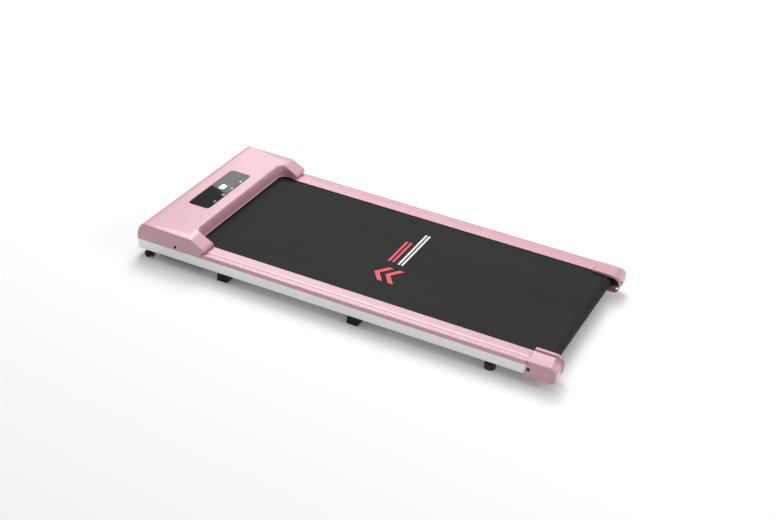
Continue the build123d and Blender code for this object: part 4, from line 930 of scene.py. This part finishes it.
arrows = [half for tip in ARROW_TIPS for half in chevron(tip)]
make_piece("belt_arrows", *slab(arrows, belt_high.z, PRINT), red_ink, "belt_rubber")
red_bars = stripes(RED_STRIPES, RED_SPAN, RED_WIDTH)
make_piece("belt_red_stripes", *slab(red_bars, belt_high.z, PRINT), red_ink, "belt_rubber")
pale_bars = stripes(PALE_STRIPES, PALE_SPAN, PALE_WIDTH)
make_piece("belt_pale_stripes", *slab(pale_bars, belt_high.z, PRINT), pale_ink, "belt_rubber")

# ---- Floor, light and camera ---------------------------------------------------------
FLOOR_REACH = 20
FLOOR_GLOW = 0.11
floor_mesh = bpy.data.meshes.new("studio_floor")
floor_corners = [(-FLOOR_REACH, -FLOOR_REACH, 0), (FLOOR_REACH, -FLOOR_REACH, 0),
                 (FLOOR_REACH, FLOOR_REACH, 0), (-FLOOR_REACH, FLOOR_REACH, 0)]
floor_mesh.from_pydata(floor_corners, [], [(0, 1, 2, 3)])
floor = bpy.data.objects.new("studio_floor", floor_mesh)
bpy.context.scene.collection.objects.link(floor)
floor_finish = Finish("studio_floor_paint", (0.765, 0.765, 0.765), 0.9, specular=0.0)
floor_finish.set("Emission Color", (1, 1, 1, 1))
floor_finish.set("Emission Strength", FLOOR_GLOW)
floor_mesh.materials.append(floor_finish.material)

scene = bpy.context.scene
scene.view_settings.view_transform = "Standard"
world = bpy.data.worlds.new("studio_sky")
scene.world = world
world.use_nodes = True
sky = world.node_tree.nodes["Background"]
sky.inputs["Color"].default_value = (1.0, 1.0, 1.0, 1)
sky.inputs["Strength"].default_value = 0.33


def area_light(name, location, size, power):
    """White disk light that points at the origin, in metres and watts."""
    data = bpy.data.lights.new(name, "AREA")
    data.shape = "DISK"
    data.size = size
    data.energy = power
    light = bpy.data.objects.new(name, data)
    light.location = location
    light.visible_camera = False
    light.rotation_mode = "QUATERNION"
    light.rotation_quaternion = Vector(location).to_track_quat("Z", "Y")
    scene.collection.objects.link(light)


area_light("overhead_light", (-0.5, 0.9, 3.9), 4.4, 92)
area_light("rear_light", (-1.5, 2.7, 3.8), 2.7, 115)
area_light("end_light", (3.2, 0.1, 1.6), 2.8, 46)

CAMERA_PLACE = Vector((1.2145, -2.9428, 1.8839))
CAMERA_AZIMUTH = math.radians(22.19)
CAMERA_ELEVATION = math.radians(30.12)
CAMERA_ROLL = math.radians(5.835)
CAMERA_LENS = 70.75
SENSOR_WIDTH = 36.0
back = Vector((math.sin(CAMERA_AZIMUTH) * math.cos(CAMERA_ELEVATION),
               -math.cos(CAMERA_AZIMUTH) * math.cos(CAMERA_ELEVATION), math.sin(CAMERA_ELEVATION)))
camera_data = bpy.data.cameras.new("camera")
camera_data.lens = CAMERA_LENS
camera_data.sensor_width = SENSOR_WIDTH
camera = bpy.data.objects.new("camera", camera_data)
camera.rotation_mode = "QUATERNION"
camera.location = CAMERA_PLACE
upright = (-back).to_track_quat("-Z", "Y")
camera.rotation_quaternion = upright @ Matrix.Rotation(CAMERA_ROLL, 4, "Z").to_quaternion()
scene.collection.objects.link(camera)
scene.camera = camera

# A pale card behind the machine, seen only as the reflection that covers the console's far half
CARD_REACH = 1.8
CARD_GLOW = 2.9
BOUNDARY_NEAR_FRONT = Vector((-492, 9, lens_face))
BOUNDARY_NEAR_REAR = Vector((-418, -17, lens_face))
CARD_FAR_SHIFT = Vector((0, 420, 0))


def mirrored_on_card(point):
    """Place on the card that the camera sees reflected at a point of the console's face."""
    seen = point * MM
    behind = Vector((CAMERA_PLACE.x, CAMERA_PLACE.y, 2 * seen.z - CAMERA_PLACE.z))
    return seen + (seen - behind).normalized() * CARD_REACH


boundary = BOUNDARY_NEAR_REAR - BOUNDARY_NEAR_FRONT
near_front = BOUNDARY_NEAR_FRONT - boundary
near_rear = BOUNDARY_NEAR_REAR + boundary
covered = (near_front, near_rear, near_rear + CARD_FAR_SHIFT, near_front + CARD_FAR_SHIFT)
card_corners = [mirrored_on_card(place) for place in covered]
card_mesh = bpy.data.meshes.new("reflection_card")
card_mesh.from_pydata(card_corners, [], [(0, 1, 2, 3)])
card_finish = Finish("reflection_card_paint", (1, 1, 1), 1.0, specular=0.0)
card_finish.set("Emission Color", (1, 1, 1, 1))
card_finish.set("Emission Strength", CARD_GLOW)
card_mesh.materials.append(card_finish.material)
card = bpy.data.objects.new("reflection_card", card_mesh)
card.visible_camera = False
card.visible_diffuse = False
card.visible_shadow = False
scene.collection.objects.link(card)
